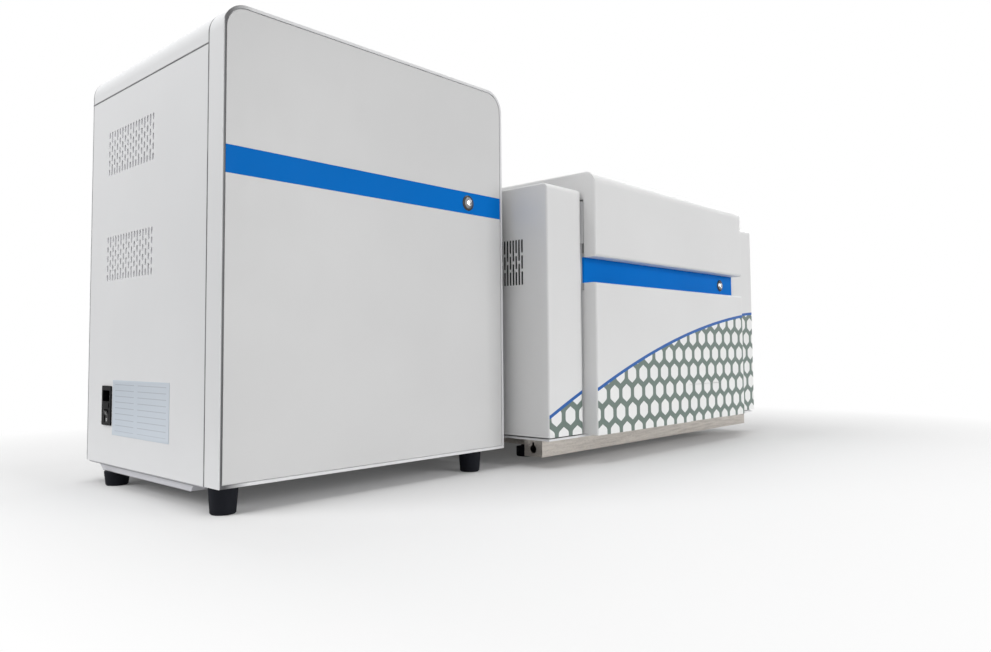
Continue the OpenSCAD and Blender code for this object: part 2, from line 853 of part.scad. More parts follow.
module rail() {
    length = analyser_w - 2 * rail_inset;
    hole_z = rail_h * 0.44;
    difference() {
        cube([length, rail_d, rail_h]);
        translate([rail_wall, rail_wall, rail_wall])
            cube([length - 2 * rail_wall, rail_d - 2 * rail_wall, rail_h - 2 * rail_wall]);
        for (x = [-past, length - rail_wall - past]) translate([x, rail_d / 2, hole_z]) {
            rotate([0, 90, 0]) cylinder(d = keyhole_dia, h = rail_wall + 2 * past);
            translate([0, -keyhole_slot / 2, 0])
                cube([rail_wall + 2 * past, keyhole_slot, keyhole_dia / 2 + 5]);
        }
    }
}

module base_rails() color(steel) at_analyser()
    for (y = [rail_front_y, rail_back_y])
        translate([rail_inset, y, -base_under - rail_h]) rail();

// Two members join the rails from front to back
module cross_members() color(steel) at_analyser() {
    y = rail_front_y + rail_d + seat_gap;
    for (x = member_x) translate([x, y, -base_under - rail_h + member_rise])
        cube([member_w, rail_back_y - seat_gap - y, rail_h - member_rise - seat_gap]);
}

module base_pads() color(dark) at_analyser() {
    pad_set = rail_d + 90;
    for (x = member_x, y = [rail_front_y + pad_set, rail_back_y + rail_d - pad_set])
        translate([x + member_w / 2, y, -analyser_z]) {
            cylinder(d1 = pad_dia - 2, d2 = pad_dia, h = 2);
            translate([0, 0, 2]) cylinder(d = pad_dia, h = pad_h - 4);
            translate([0, 0, pad_h - 2]) cylinder(d = 16, h = member_rise + 2);
        }
}

module base_plate() color(paint) at_analyser() translate([4, 4, -base_under])
    cube([analyser_w - 8, analyser_d - 8, base_plate_t]);

// ---- Analyser covers ----

// A block with round edges along the top and down the front, small outside at X 0 and
// large at the bay
module column_block(w, d, h, outer_r, r) {
    intersection() {
        front_slab(0, d) difference() {
            square([w, h]);
            translate([0, h]) mirror([0, 1]) corner_off(outer_r);
            translate([w, h]) rotate(180) corner_off(r);
        }
        side_slab(0, w) difference() {
            square([d, h]);
            translate([0, h]) mirror([0, 1]) corner_off(r);
        }
        linear_extrude(h) difference() {
            square([w, d]);
            corner_off(outer_r);
            translate([w, 0]) mirror([1, 0]) corner_off(r);
        }
    }
}

// Left-hand column cover: open behind, below and towards the bay
module column_cover(w) {
    d = analyser_d - cover_wall - shadow_gap;
    side_lip = 30;
    top_lip = 22;
    difference() {
        column_block(w, d, column_h, column_outer_r, column_r);
        translate([cover_wall, cover_wall, -past]) column_block(w - 2 * cover_wall, d + past,
            column_h - cover_wall + past, max(column_outer_r - cover_wall, 1), column_r - cover_wall);
        translate([w - 2 * cover_wall, side_lip, -past])
            cube([3 * cover_wall, d, column_h - top_lip + past]);
    }
}

module side_vent_cut(w) {
    vent_low = 253;
    vent_high = 78;
    web = 1.2;
    rotate([90, 0, 90]) translate([0, 0, -past]) linear_extrude(cover_wall + 2 * past)
        translate([55, vent_low])
            staggered_slots(side_slot_columns, side_slot_pitch, side_slot_w, vent_high, 3, 4);
    // the wall is thinner behind the slots
    translate([web, 49, vent_low - 5])
        cube([cover_wall, side_slot_columns * side_slot_pitch + 6, vent_high + 10]);
}

module left_cover() color(paint) at_analyser() difference() {
    column_cover(left_column_w);
    side_vent_cut(left_column_w);
}

module right_cover() color(paint) at_analyser() translate([analyser_w, 0, 0])
    mirror([1, 0, 0]) difference() {
        column_cover(right_column_w);
        side_vent_cut(right_column_w);
    }

module rear_cover() color(paint) at_analyser() front_slab(analyser_d - cover_wall, cover_wall)
    difference() {
        arch(analyser_w, column_h, column_outer_r);
        translate([analyser_fan_x, analyser_fan_z]) fan_guard_holes(fan_bore_r - 1);
        translate([analyser_inlet_x - inlet_w / 2 + 2, analyser_inlet_z + 2])
            square([inlet_w - 4, inlet_h - 4]);
        translate([analyser_w * 0.45, 250])
            staggered_slots(20, side_slot_pitch, side_slot_w, 75, 3, 4);
    }

module recess_panel() color(blue) at_analyser() front_slab(0, bulkhead_y) difference() {
    translate([hood_x, lower_cover_top - recess_lap])
        square([hood_w, hood_edge_z - lower_cover_top + recess_lap + 8]);
    button_hole_2d(analyser_button_x, analyser_button_z);
}

// Inner frame in four pieces: front bulkhead, two side walls and the rear hinge rail
module inner_frame() color(alloy) at_analyser() {
    wall_y = bulkhead_y + frame_t + seat_gap;
    wall_end = analyser_d - cover_wall - seat_gap;
    rail_y = wall_end - hinge_rail_d;
    rail_low = column_h - hinge_rail_h;
    front_slab(bulkhead_y, frame_t) difference() {
        translate([frame_x, -seam]) square([frame_w, bulkhead_top + seam]);
        translate([drawer_x - drawer_w / 2 - 2, 2]) square([drawer_w + 4, drawer_top - 6]);
        button_hole_2d(analyser_button_x, analyser_button_z);
    }
    for (x = [frame_x, frame_x + frame_w - frame_t]) side_slab(x, frame_t) difference() {
        union() {
            translate([wall_y, -seam]) square([wall_end - wall_y, side_frame_top + seam]);
            // above the bulkhead the walls reach the hood's side returns
            translate([seat_gap, bulkhead_top + seat_gap])
                square([wall_y, side_frame_top - bulkhead_top - seat_gap]);
        }
        // cable and air windows between the column and the bay
        for (y = [0.3, 0.7]) translate([analyser_d * y, 120]) round_rect(120, 90, 12);
    }
    // the hinge rail's ends step down to reach the side walls
    translate([frame_x + 6, rail_y, rail_low]) cube([frame_w - 12, hinge_rail_d, hinge_rail_h]);
    translate([frame_x + frame_t + seat_gap, rail_y, rail_low])
        cube([frame_w - 2 * (frame_t + seat_gap), hinge_rail_d, side_frame_top - rail_low]);
}

// Side outline (Y, Z) of the hood, grown inwards by inset on its closed sides
module hood_outline(inset) {
    y0 = -front_proud + inset;
    y1 = hood_back_y - inset;
    top = hood_top - inset;
    r = hood_front_r - inset;
    difference() {
        union() {
            translate([y0, hood_edge_z]) square([front_proud - hood_gap - inset, top - hood_edge_z]);
            translate([y0, hood_side_z]) square([hinge_y + 6 - y0, top - hood_side_z]);
            translate([y0, hood_skirt_z]) square([y1 - y0, top - hood_skirt_z]);
        }
        translate([y0, top]) mirror([0, 1]) corner_off(r);
        translate([y1, top]) rotate(180) corner_off(max(8 - inset, 2));
        translate([y0, hood_edge_z]) corner_off(hood_lip_r);
    }
}

// Plan outline shared by the hood and the lower cover, with two round front corners
module moulding_plan(depth) {
    difference() {
        translate([hood_x, -front_proud]) square([hood_w, depth]);
        translate([hood_x, -front_proud]) corner_off(moulding_r);
        translate([hood_x + hood_w, -front_proud]) mirror([1, 0]) corner_off(moulding_r);
    }
}

module hood() color(paint) at_analyser() {
    difference() {
        intersection() {
            side_slab(hood_x, hood_w) hood_outline(0);
            front_slab(-front_proud - past, hood_back_y + front_proud + 2 * past)
                translate([hood_x, hood_edge_z]) arch(hood_w, hood_top - hood_edge_z, moulding_r);
            translate([0, 0, hood_edge_z]) linear_extrude(hood_top - hood_edge_z)
                moulding_plan(hood_back_y + front_proud);
        }
        intersection() {
            side_slab(hood_x + cover_wall, hood_w - 2 * cover_wall) hood_cavity();
            front_slab(-front_proud, hood_back_y + front_proud)
                translate([hood_x + cover_wall, hood_edge_z - past])
                    arch(hood_w - 2 * cover_wall, hood_top - cover_wall - hood_edge_z + past,
                        max(moulding_r - cover_wall, 1));
        }
        // notches that pass the fixed knuckles as the hood swings up
        for (spot = hinge_spots)
            translate([hinge_x(spot) - fixed_knuckle_w / 2 - 2, hinge_y + knuckle_r, hood_skirt_z - past])
                cube([fixed_knuckle_w + 4, hinge_back - knuckle_r + past, hinge_z + 6 - hood_skirt_z + past]);
    }
}

// What the hood's shell is hollowed by, leaving a lip under its front
module hood_cavity() {
    lip = cover_wall;
    y0 = -front_proud + cover_wall;
    y1 = hood_back_y - cover_wall;
    top = hood_top - cover_wall;
    difference() {
        union() {
            translate([y0, hood_edge_z + lip]) square([front_proud, top - hood_edge_z - lip]);
            translate([y0, hood_side_z - past]) square([y1 - y0, top - hood_side_z + past]);
        }
        translate([y0, top]) mirror([0, 1]) corner_off(hood_front_r - cover_wall);
        translate([y1, top]) rotate(180) corner_off(5);
    }
}

module lower_front_cover() color(paint) at_analyser() {
    low = -2.4;
    depth = front_proud - seat_gap;
    // returns that close the corners beside the columns, up to the bulkhead
    for (x = [hood_x, hood_x + hood_w - cover_wall]) translate([x, -front_proud + depth - past, low])
        cube([cover_wall, past + bulkhead_y, lower_cover_top - recess_lap - shadow_gap - low]);
    difference() {
        // round front edges, in plan and along the top
        intersection() {
            side_slab(hood_x, hood_w) difference() {
                translate([-front_proud, low]) square([depth, lower_cover_top - low]);
                translate([-front_proud, lower_cover_top]) mirror([0, 1]) corner_off(moulding_r);
            }
            translate([0, 0, low]) linear_extrude(lower_cover_top - low) moulding_plan(depth);
        }
        translate([hood_x + cover_wall, -front_proud + cover_wall, low + cover_wall])
            cube([hood_w - 2 * cover_wall, depth, lower_cover_top - low - 2 * cover_wall]);
        translate([drawer_x - drawer_w / 2, -front_proud - past, low - past])
            cube([drawer_w, depth + 2 * past, drawer_top - low + past]);
    }
}

// ---- Hood hinge ----

function hinge_x(spot) = hood_x + hood_w * spot;

module knuckle(x, w) {
    translate([x - w / 2, hinge_y, hinge_z]) rotate([0, 90, 0]) cylinder(r = knuckle_r, h = w);
}

module pin_bore(x) {
    translate([x - leaf_w, hinge_y, hinge_z]) rotate([0, 90, 0])
        cylinder(r = hinge_pin_r + pin_gap, h = 2 * leaf_w);
}

module hinge_fixed_leaves() color(steel) at_analyser() for (spot = hinge_spots) difference() {
    x = hinge_x(spot);
    union() {
        translate([x - leaf_w / 2, analyser_d - cover_wall - hinge_rail_d, column_h])
            cube([leaf_w, hinge_rail_d - 1, leaf_t]);
        translate([x - fixed_knuckle_w / 2, hinge_y - knuckle_r, column_h])
            cube([fixed_knuckle_w, 2 * knuckle_r, hinge_rise]);
        knuckle(x, fixed_knuckle_w);
    }
    pin_bore(x);
}

module hinge_moving_leaves() color(steel) at_analyser() for (spot = hinge_spots) difference() {
    x = hinge_x(spot);
    step = fixed_knuckle_w / 2 + knuckle_gap + moving_knuckle_w / 2;
    leaf_top = hood_top - cover_wall;
    union() {
        translate([x - leaf_w / 2, hinge_y - 34, leaf_top - leaf_t]) cube([leaf_w, 35, leaf_t]);
        for (side = [-1, 1]) {
            knuckle(x + side * step, moving_knuckle_w);
            translate([x + side * step - moving_knuckle_w / 2, hinge_y - knuckle_r, hinge_z])
                cube([moving_knuckle_w, knuckle_r + 1, leaf_top - leaf_t / 2 - hinge_z]);
        }
    }
    pin_bore(x);
}

module hinge_pins() color(steel) at_analyser() for (spot = hinge_spots)
    translate([hinge_x(spot) - leaf_w / 2, hinge_y, hinge_z]) rotate([0, 90, 0])
        cylinder(r = hinge_pin_r, h = leaf_w);

// ---- Plate drawer ----

module drawer_front() color(paint) at_analyser() {
    w = drawer_w - 2 * drawer_gap;
    h = drawer_top - drawer_gap - drawer_low;
    translate([drawer_x - w / 2, -front_proud, drawer_low]) cube([w, drawer_door_t, h]);
    // stiffening rim and the bracket that the stage is screwed to
    translate([drawer_x - w / 2 + 3, stage_front, drawer_low + 3]) difference() {
        cube([w - 6, 5, h - 6]);
        translate([2, -past, 2]) cube([w - 10, 5 + 2 * past, h - 10]);
    }
}

module plate_stage() color(alloy) at_analyser() difference() {
    union() {
        translate([drawer_x - stage_w / 2, stage_front, stage_z]) cube([stage_w, stage_d, stage_t]);
        translate([drawer_x - stage_w / 2 - tongue_w, runner_front, tongue_z])
            cube([stage_w + 2 * tongue_w, stage_front + stage_d - runner_front, tongue_t]);
    }
    // seat for one microplate, with finger notches and a light well under it
    translate([drawer_x - seat_w / 2, seat_y, stage_z + 4]) cube([seat_w, seat_d, stage_t]);
    translate([drawer_x - 54, seat_y + 10, stage_z - past]) cube([108, seat_d - 20, 5 + past]);
    for (side = [-1, 1]) translate([drawer_x + side * seat_w / 2, seat_y + seat_d / 2, stage_z + 5])
        cylinder(r = 11, h = stage_t);
    // weight-saving pocket in the tail of the stage
    translate([drawer_x - 48, seat_y + seat_d + 12, stage_z - past])
        cube([96, stage_front + stage_d - seat_y - seat_d - 24, stage_t + 2 * past]);
    // clearance behind the drawer front's rim
    translate([drawer_x - drawer_w / 2, stage_front - past, stage_z - past])
        cube([6.2, 5.4 + past, stage_t + 2 * past]);
    translate([drawer_x + drawer_w / 2 - 6.2, stage_front - past, stage_z - past])
        cube([6.2, 5.4 + past, stage_t + 2 * past]);
}

module stage_runners() color(steel) at_analyser() for (side = [0, 1])
    translate([drawer_x, 0, 0]) mirror([side, 0, 0])
        translate([stage_w / 2 + slide_gap, runner_front, -seam]) difference() {
            cube([runner_w, stage_front + stage_d - runner_front + 8, runner_top + seam]);
            translate([-past, -past, tongue_z + seam - slide_gap])
                cube([tongue_w + past, stage_d, tongue_t + 2 * slide_gap]);
        }

// ---- Sampling probe ----

module probe_column() color(alloy) at_analyser() {
    guide_back = bench_front - seat_gap;
    translate([drawer_x - 20, guide_back - guide_plate_t, guide_low])
        cube([40, guide_plate_t, bench_top - guide_low]);
    translate([drawer_x - guide_w / 2, guide_back - guide_plate_t - guide_t, guide_low + 6])
        cube([guide_w, guide_t, bench_top - guide_low - 12]);
}

module probe_carriage() color(dark) at_analyser() {
    front = bench_front - seat_gap - guide_plate_t - guide_t;
    block_d = 14;
    arm_h = 8;
    difference() {
        translate([drawer_x - 15, front - block_d + guide_t - 0.6, carriage_z])
            cube([30, block_d, carriage_h]);
        translate([drawer_x - guide_w / 2 - 0.2, front - 0.3, carriage_z - past])
            cube([guide_w + 0.4, guide_t + 2, carriage_h + 2 * past]);
    }
    difference() {
        union() {
            translate([drawer_x - 6, needle_y, carriage_z])
                cube([12, front - block_d + guide_t - needle_y + past, arm_h]);
            translate([drawer_x, needle_y, carriage_z - 4]) cylinder(r = 6, h = arm_h + 10);
        }
        translate([drawer_x, needle_y, carriage_z - 5])
            cylinder(d = needle_dia + 0.1, h = arm_h + 12);
    }
    // the needle itself, clamped in the arm
    translate([drawer_x, needle_y, needle_tip_z + 4])
        cylinder(d = needle_dia, h = carriage_z + arm_h + 16 - needle_tip_z);
    translate([drawer_x, needle_y, needle_tip_z])
        cylinder(d1 = needle_dia * 0.4, d2 = needle_dia, h = 4);
}

// ---- Optical bench ----

module optical_bench() color(dark) at_analyser() difference() {
    translate([bench_x, bench_front, bench_z]) cube([bench_w, bench_d, bench_t]);
    // a field of tapped holes between the modules
    for (ix = [0 : 10], iy = [0 : 2])
        translate([bench_x + 25 + ix * 50, bench_front + 25 + iy * 50, bench_top - 8])
            cylinder(d = 6, h = 9);
}

// Elastomer mounts on brackets that hang from the side walls
module bench_mounts() color(dark) at_analyser()
    for (side = [0, 1], y = [bench_front + 60, bench_front + bench_d - 60])
        translate([side ? frame_x + frame_w - frame_t : frame_x + frame_t, y, bench_z])
            mirror([side, 0, 0]) {
                translate([seat_gap, -20, -mount_h - 4]) cube([34, 40, 4]);
                translate([seat_gap, -20, -mount_h - 44]) cube([4, 40, 41]);
                translate([20, 0, -mount_h]) cylinder(r = 12, h = mount_h - seat_gap);
            }

function laser_x(i) = bench_x + 34 + i * laser_pitch;

// A laser head with cooling fins and its beam nozzle
module laser_modules() color(alloy) at_analyser() for (i = [0 : laser_count - 1])
    translate([laser_x(i), laser_y, bench_top + seat_gap]) {
        translate([-laser_w / 2, 0, 0]) difference() {
            cube([laser_w, 150, 46]);
            for (fin = [0 : 4]) translate([5 + fin * 5.8, -past, 36])
                cube([2.8, 150 + 2 * past, 12]);
        }
        translate([0, 0, laser_axis_z - bench_top]) rotate([90, 0, 0]) cylinder(r = 7, h = 10);
    }

// Steering mounts that fold each beam onto the common line to the flow cell
module beam_optics() color(alloy) at_analyser() for (i = [0 : laser_count - 1]) {
    translate([laser_x(i), bench_front + 190, bench_top + seat_gap]) {
        cylinder(r = 14, h = 6);
        cylinder(r = 7, h = 16);
        translate([0, 0, laser_axis_z - bench_top]) rotate([0, 0, 45]) {
            difference() {
                cube([30, 8, 26], center = true);
                rotate([90, 0, 0]) cylinder(r = 8, h = 20, center = true);
            }
            rotate([90, 0, 0]) translate([0, 0, -3]) tube(9, 7, 2);
        }
    }
}

module flow_cell_mount() color(alloy) at_analyser()
    translate([drawer_x, cell_y, bench_top + seat_gap]) difference() {
        union() {
            translate([-24, -24, 0]) cube([48, 48, 16]);
            translate([-24, 8, 0]) cube([48, 16, 64]);
            translate([-14, -14, 52]) cube([28, 28, 12]);
        }
        translate([-5.3, -5.3, 12]) cube([10.6, 10.6, 41]);
        translate([0, 0, 40]) cylinder(r = 3, h = 40);
        translate([0, 0, -past]) cylinder(r = 3, h = 20);
    }

module flow_cell() color([0.85, 0.92, 0.95]) at_analyser()
    translate([drawer_x, cell_y, bench_top + 2 * seat_gap + 12]) difference() {
        translate([-5, -5, 0]) cube([10, 10, 39.6]);
        translate([0, 0, -past]) cylinder(r = 1.2, h = 42);
    }

function box_x(i) = bench_x + bench_w - 14 - (box_count - i) * (box_w + 10) + 10;

// Wavelength-splitting detector boxes, each with a coupling nose towards the flow cell
module detector_boxes() color(dark) at_analyser() for (i = [0 : box_count - 1])
    translate([box_x(i), box_y, bench_top + seat_gap]) {
        difference() {
            cube([box_w, box_d, box_h]);
            for (row = [0 : 1], k = [0 : 3]) translate([cap_spot(row), cap_step(k), box_h - 8])
                cylinder(r = 9.3, h = 9);
        }
        translate([box_w / 2, 0, 26]) rotate([90, 0, 0]) cylinder(r = 13, h = 12);
        translate([box_w / 2, -12, 26]) rotate([90, 0, 0]) cylinder(r = 7, h = 12);
    }

function cap_spot(row) = 21 + row * 34;
function cap_step(k) = 28 + k * 42;

// Removable filter holders, each with a finger ridge
module filter_caps() color(silver) at_analyser() for (i = [0 : box_count - 1], row = [0 : 1], k = [0 : 3])
    translate([box_x(i) + cap_spot(row), box_y + cap_step(k), bench_top + seat_gap + box_h - 7.7]) {
        cylinder(r = 9, h = 8.7);
        translate([0, 0, 8.7]) cylinder(r = 11, h = 3);
        translate([-8, -1.5, 11.7]) cube([16, 3, 5]);
    }

// ---- Fluidics ----

module pump_head() color(alloy) at_analyser() {
    back = bulkhead_y + frame_t + seat_gap;
    translate([pump_x, back, pump_z]) rotate([-90, 0, 0]) {
        difference() {
            linear_extrude(24) difference() {
                round_rect(80, 80, 10);
                circle(pump_bore_r);
            }
            // tubing way in and out of the raceway, through the top
            for (x = [-22, 22]) translate([x - 4, -41, 4]) cube([8, 26, 8]);
        }
        difference() {
            translate([0, 0, 23]) linear_extrude(6) round_rect(80, 80, 10);
            translate([0, 0, 22]) cylinder(r = pump_shaft_r + pin_gap, h = 12);
        }
        // motor behind the head
        difference() {
            translate([0, 0, 29]) cylinder(r = 26, h = 46);
            translate([0, 0, 28]) cylinder(r = pump_shaft_r + pin_gap, h = 14);
        }
    }
}

// Rotor with four rollers between two plates on the motor's shaft
module pump_rotor() color(silver) at_analyser()
    translate([pump_x, bulkhead_y + frame_t + seat_gap, pump_z]) rotate([-90, 0, 0]) {
        translate([0, 0, 2]) cylinder(r = pump_shaft_r, h = 36);
        for (z = [2, 18]) translate([0, 0, z]) cylinder(r = roller_orbit + 4, h = 3);
        for (turn = [0 : 90 : 270]) rotate(turn) translate([roller_orbit, 0, 4])
            cylinder(r = roller_r, h = 15);
    }

module fluid_manifold() color([0.9, 0.9, 0.86]) at_analyser()
    translate([pump_x + 60, bulkhead_y + frame_t + seat_gap, 40]) {
        cube([150, 32, 46]);
        for (i = [0 : 4]) translate([16 + i * 29.5, 16, 46]) {
            cylinder(r = 9, h = 26);
            translate([0, 0, 26]) cylinder(r = 6, h = 6);
        }
        for (i = [0 : 4]) translate([16 + i * 29.5, 32, 14]) rotate([-90, 0, 0]) cylinder(r = 3, h = 12);
    }

// Capsule filter held in a clip on the bulkhead
module sheath_filter() color([0.93, 0.93, 0.95]) at_analyser()
    translate([pump_x + 250 - 120, bulkhead_y + frame_t + seat_gap + 36, 140]) {
        rotate_extrude() polygon([[0, 0], [6, 0], [6, 12], [20, 18], [27, 26], [27, 92],
            [20, 100], [6, 106], [6, 118], [0, 118]]);
        for (z = [40, 74]) translate([-5, -36, z]) cube([10, 12, 8]);
    }

module fluid_ports() color(steel) at_analyser()
    translate([analyser_w * 0.72, analyser_d, 120]) rotate([-90, 0, 0]) {
        translate([0, 0, seat_gap / 3]) linear_extrude(2) round_rect(120, 30, 4);
        for (i = [-1.5 : 1.5]) translate([i * 28, 0, 2]) {
            cylinder(r = 7, h = 5);
            tube(4, 2, port_reach - 2);
        }
    }

module control_board() color(board_green) at_analyser() {
    board_y = 110;
    board_d = 340;
    board_z = 190;
    board_h = 170;
    stand = 7;
    translate([frame_x - seat_gap - stand - 1.6, board_y, board_z]) {
        cube([1.6, board_d, board_h]);
        for (y = [10, board_d - 10], z = [10, board_h - 10])
            translate([1.6, y, z]) rotate([0, 90, 0]) cylinder(r = 3.5, h = stand);
        for (i = [0 : 3]) translate([-6, 30 + i * 70, 80]) cube([6, 36, 36]);
        translate([-12, 30, 14]) cube([12, 240, 12]);
    }
}

module analyser_power_supply() color(alloy) at_analyser()
    translate([left_column_w + bay_w + 12, analyser_d - 290, -seam])
        supply_box(right_column_w - 24, 220, 44);

tower_base_tray();
tower_feet();
tower_left_panel();
tower_right_panel();
tower_rear_panel();
tower_top_cover();
tower_front_bezel();
tower_front_plate();
tower_stripe();
tower_rocker();
tower_power_button();
tower_frame();
tower_optical_deck();
tower_spectrographs();
tower_detector_boards();
tower_main_board();
tower_power_supply();
tower_left_fan_rotor();
tower_right_fan_rotor();
tower_fibre_port();
button_rings();
power_inlets();
fan_frames();
base_rails();
cross_members();
base_pads();
base_plate();
left_cover();
right_cover();
rear_cover();
recess_panel();
inner_frame();
hood();
hinge_fixed_leaves();
hinge_moving_leaves();
hinge_pins();
lower_front_cover();
analyser_power_button();
analyser_rocker();
drawer_front();
plate_stage();
stage_runners();
probe_column();
probe_carriage();
optical_bench();
bench_mounts();
laser_modules();
beam_optics();
flow_cell_mount();
flow_cell();
detector_boxes();
filter_caps();
pump_head();
pump_rotor();
fluid_manifold();
sheath_filter();
fluid_ports();
control_board();
analyser_power_supply();
analyser_fan_rotor();
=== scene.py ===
import math

import bmesh
import bpy
from mathutils import Matrix, Vector


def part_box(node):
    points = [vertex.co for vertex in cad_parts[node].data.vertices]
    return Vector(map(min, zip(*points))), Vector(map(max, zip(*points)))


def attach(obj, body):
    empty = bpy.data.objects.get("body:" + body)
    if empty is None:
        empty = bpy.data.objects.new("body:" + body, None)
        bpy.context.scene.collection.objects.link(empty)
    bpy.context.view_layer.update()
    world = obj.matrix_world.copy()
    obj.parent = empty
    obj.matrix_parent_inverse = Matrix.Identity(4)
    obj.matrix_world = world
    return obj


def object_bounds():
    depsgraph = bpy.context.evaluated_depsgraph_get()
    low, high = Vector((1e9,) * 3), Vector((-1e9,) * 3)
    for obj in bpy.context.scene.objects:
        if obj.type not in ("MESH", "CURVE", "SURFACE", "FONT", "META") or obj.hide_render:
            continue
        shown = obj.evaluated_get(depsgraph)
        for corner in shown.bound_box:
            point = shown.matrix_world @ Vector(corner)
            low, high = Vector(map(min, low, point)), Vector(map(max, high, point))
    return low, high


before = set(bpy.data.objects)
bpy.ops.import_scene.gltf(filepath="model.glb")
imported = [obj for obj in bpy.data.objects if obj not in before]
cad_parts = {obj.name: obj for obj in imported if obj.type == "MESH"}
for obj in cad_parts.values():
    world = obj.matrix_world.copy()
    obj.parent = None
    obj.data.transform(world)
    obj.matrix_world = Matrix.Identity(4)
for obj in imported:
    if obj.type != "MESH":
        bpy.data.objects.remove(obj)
cad_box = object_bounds()

MM = 0.001
ORIGIN = Vector((0, 0, 0))
# The lower left front corners of the two cabinets, from which places are measured
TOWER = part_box("tower_front_bezel")[0]
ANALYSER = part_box("left_cover")[0]


def on_tower(x, y, z):
    """A place measured in millimetres from the tower's corner"""
    return TOWER + Vector((x, y, z)) * MM


def on_analyser(x, y, z):
    """A place measured in millimetres from the analyser's corner"""
    return ANALYSER + Vector((x, y, z)) * MM


# ---- Camera ----

CAMERA_PLACE = Vector((-1.1227, -1.0864, 0.1993))
CAMERA_YAW = -0.8236
CAMERA_PITCH = 0.0548
CAMERA_ROLL = -0.0075
SENSOR_WIDTH = 36.0
LENS = 28.32
SHIFT_X = 0.00884
SHIFT_Y = -0.0206


def set_camera():
    """A low three-quarter view from ahead of the tower's left side"""
    right = Vector((math.cos(CAMERA_YAW), math.sin(CAMERA_YAW), 0))
    ahead = Vector((-math.sin(CAMERA_YAW), math.cos(CAMERA_YAW), 0))
    ahead = ahead * math.cos(CAMERA_PITCH) + Vector((0, 0, math.sin(CAMERA_PITCH)))
    level_up = right.cross(ahead)
    across = right * math.cos(CAMERA_ROLL) + level_up * math.sin(CAMERA_ROLL)
    up = level_up * math.cos(CAMERA_ROLL) - right * math.sin(CAMERA_ROLL)
    lens = bpy.data.cameras.new("camera")
    lens.sensor_width = SENSOR_WIDTH
    lens.lens = LENS
    lens.shift_x = SHIFT_X
    lens.shift_y = SHIFT_Y
    lens.clip_end = 200
    camera = bpy.data.objects.new("camera", lens)
    bpy.context.scene.collection.objects.link(camera)
    turn = Matrix((across, up, -ahead)).transposed().to_4x4()
    camera.matrix_world = Matrix.Translation(CAMERA_PLACE) @ turn
    bpy.context.scene.camera = camera


set_camera()

# ---- Node helpers ----


def plug(tree, source, socket):
    """Feed a socket from another socket, or set it to a plain value"""
    if isinstance(source, bpy.types.NodeSocket):
        tree.links.new(source, socket)
    else:
        socket.default_value = source


def calc(tree, operation, first, second=0.0, third=0.0):
    """One Math node; its inputs are sockets or numbers"""
    made = tree.nodes.new("ShaderNodeMath")
    made.operation = operation
    for socket, value in zip(made.inputs, (first, second, third)):
        plug(tree, value, socket)
    return made.outputs[0]


def blend_colours(tree, mask, first, second):
    """The first colour where the mask is 0 and the second where it is 1"""
    made = tree.nodes.new("ShaderNodeMix")
    made.data_type = "RGBA"
    plug(tree, mask, made.inputs["Factor"])
    plug(tree, first, made.inputs["A"])
    plug(tree, second, made.inputs["B"])
    return made.outputs["Result"]


def spread(tree, value, low, high, to_low, to_high):
    """A value moved from one range to another, and held inside it"""
    made = tree.nodes.new("ShaderNodeMapRange")
    for socket, number in zip(made.inputs, (value, low, high, to_low, to_high)):
        plug(tree, number, socket)
    return made.outputs["Result"]


def object_place(tree, location=(0, 0, 0), scale=(1, 1, 1)):
    """Object coordinates, scaled and then moved"""
    place = tree.nodes.new("ShaderNodeTexCoord")
    mapping = tree.nodes.new("ShaderNodeMapping")
    mapping.inputs["Location"].default_value = location
    mapping.inputs["Scale"].default_value = scale
    tree.links.new(place.outputs["Object"], mapping.inputs["Vector"])
    return mapping.outputs["Vector"]


def noise(tree, place, scale, detail=2.0, roughness=0.5):
    """Noise from 0 to 1 at a scale in waves per metre"""
    made = tree.nodes.new("ShaderNodeTexNoise")
    plug(tree, place, made.inputs["Vector"])
    plug(tree, scale, made.inputs["Scale"])
    made.inputs["Detail"].default_value = detail
    made.inputs["Roughness"].default_value = roughness
    return made.outputs["Fac"]


def split(tree, vector):
    """The three parts of a vector"""
    made = tree.nodes.new("ShaderNodeSeparateXYZ")
    plug(tree, vector, made.inputs[0])
    return made.outputs[0], made.outputs[1], made.outputs[2]


def place_mm(tree, corner=ORIGIN):
    """Places across, back and up from a corner, in millimetres"""
    per_mm = 1 / MM
    return split(tree, object_place(tree, tuple(-corner * per_mm), (per_mm, per_mm, per_mm)))


def radius_of(tree, first, second):
    """The length of a vector in a plane from its two parts"""
    squares = calc(tree, "MULTIPLY_ADD", first, first, calc(tree, "MULTIPLY", second, second))
    return calc(tree, "SQRT", squares)


def between(tree, value, low, high, fade):
    """1 between two limits, where each limit is crossed over a short fade"""
    return calc(tree, "MULTIPLY", spread(tree, value, low, low + fade, 0.0, 1.0),
                spread(tree, value, high, high + fade, 1.0, 0.0))


def paint_over(tree, shader, mask, paint):
    """Lay another colour over the shader's base colour where the mask is 1"""
    under = shader.inputs["Base Color"].links[0].from_socket
    plug(tree, blend_colours(tree, mask, under, paint), shader.inputs["Base Color"])


def start_group(name, inputs, outputs):
    """An empty shader group; inputs maps a name to its default value"""
    tree = bpy.data.node_groups.new(name, "ShaderNodeTree")
    for label, value in inputs.items():
        kind = "NodeSocketVector" if isinstance(value, tuple) else "NodeSocketFloat"
        socket = tree.interface.new_socket(label, in_out="INPUT", socket_type=kind)
        socket.default_value = value
    for label in outputs:
        tree.interface.new_socket(label, in_out="OUTPUT", socket_type="NodeSocketFloat")
    entry = tree.nodes.new("NodeGroupInput")
    leave = tree.nodes.new("NodeGroupOutput")
    return tree, entry.outputs, leave.inputs


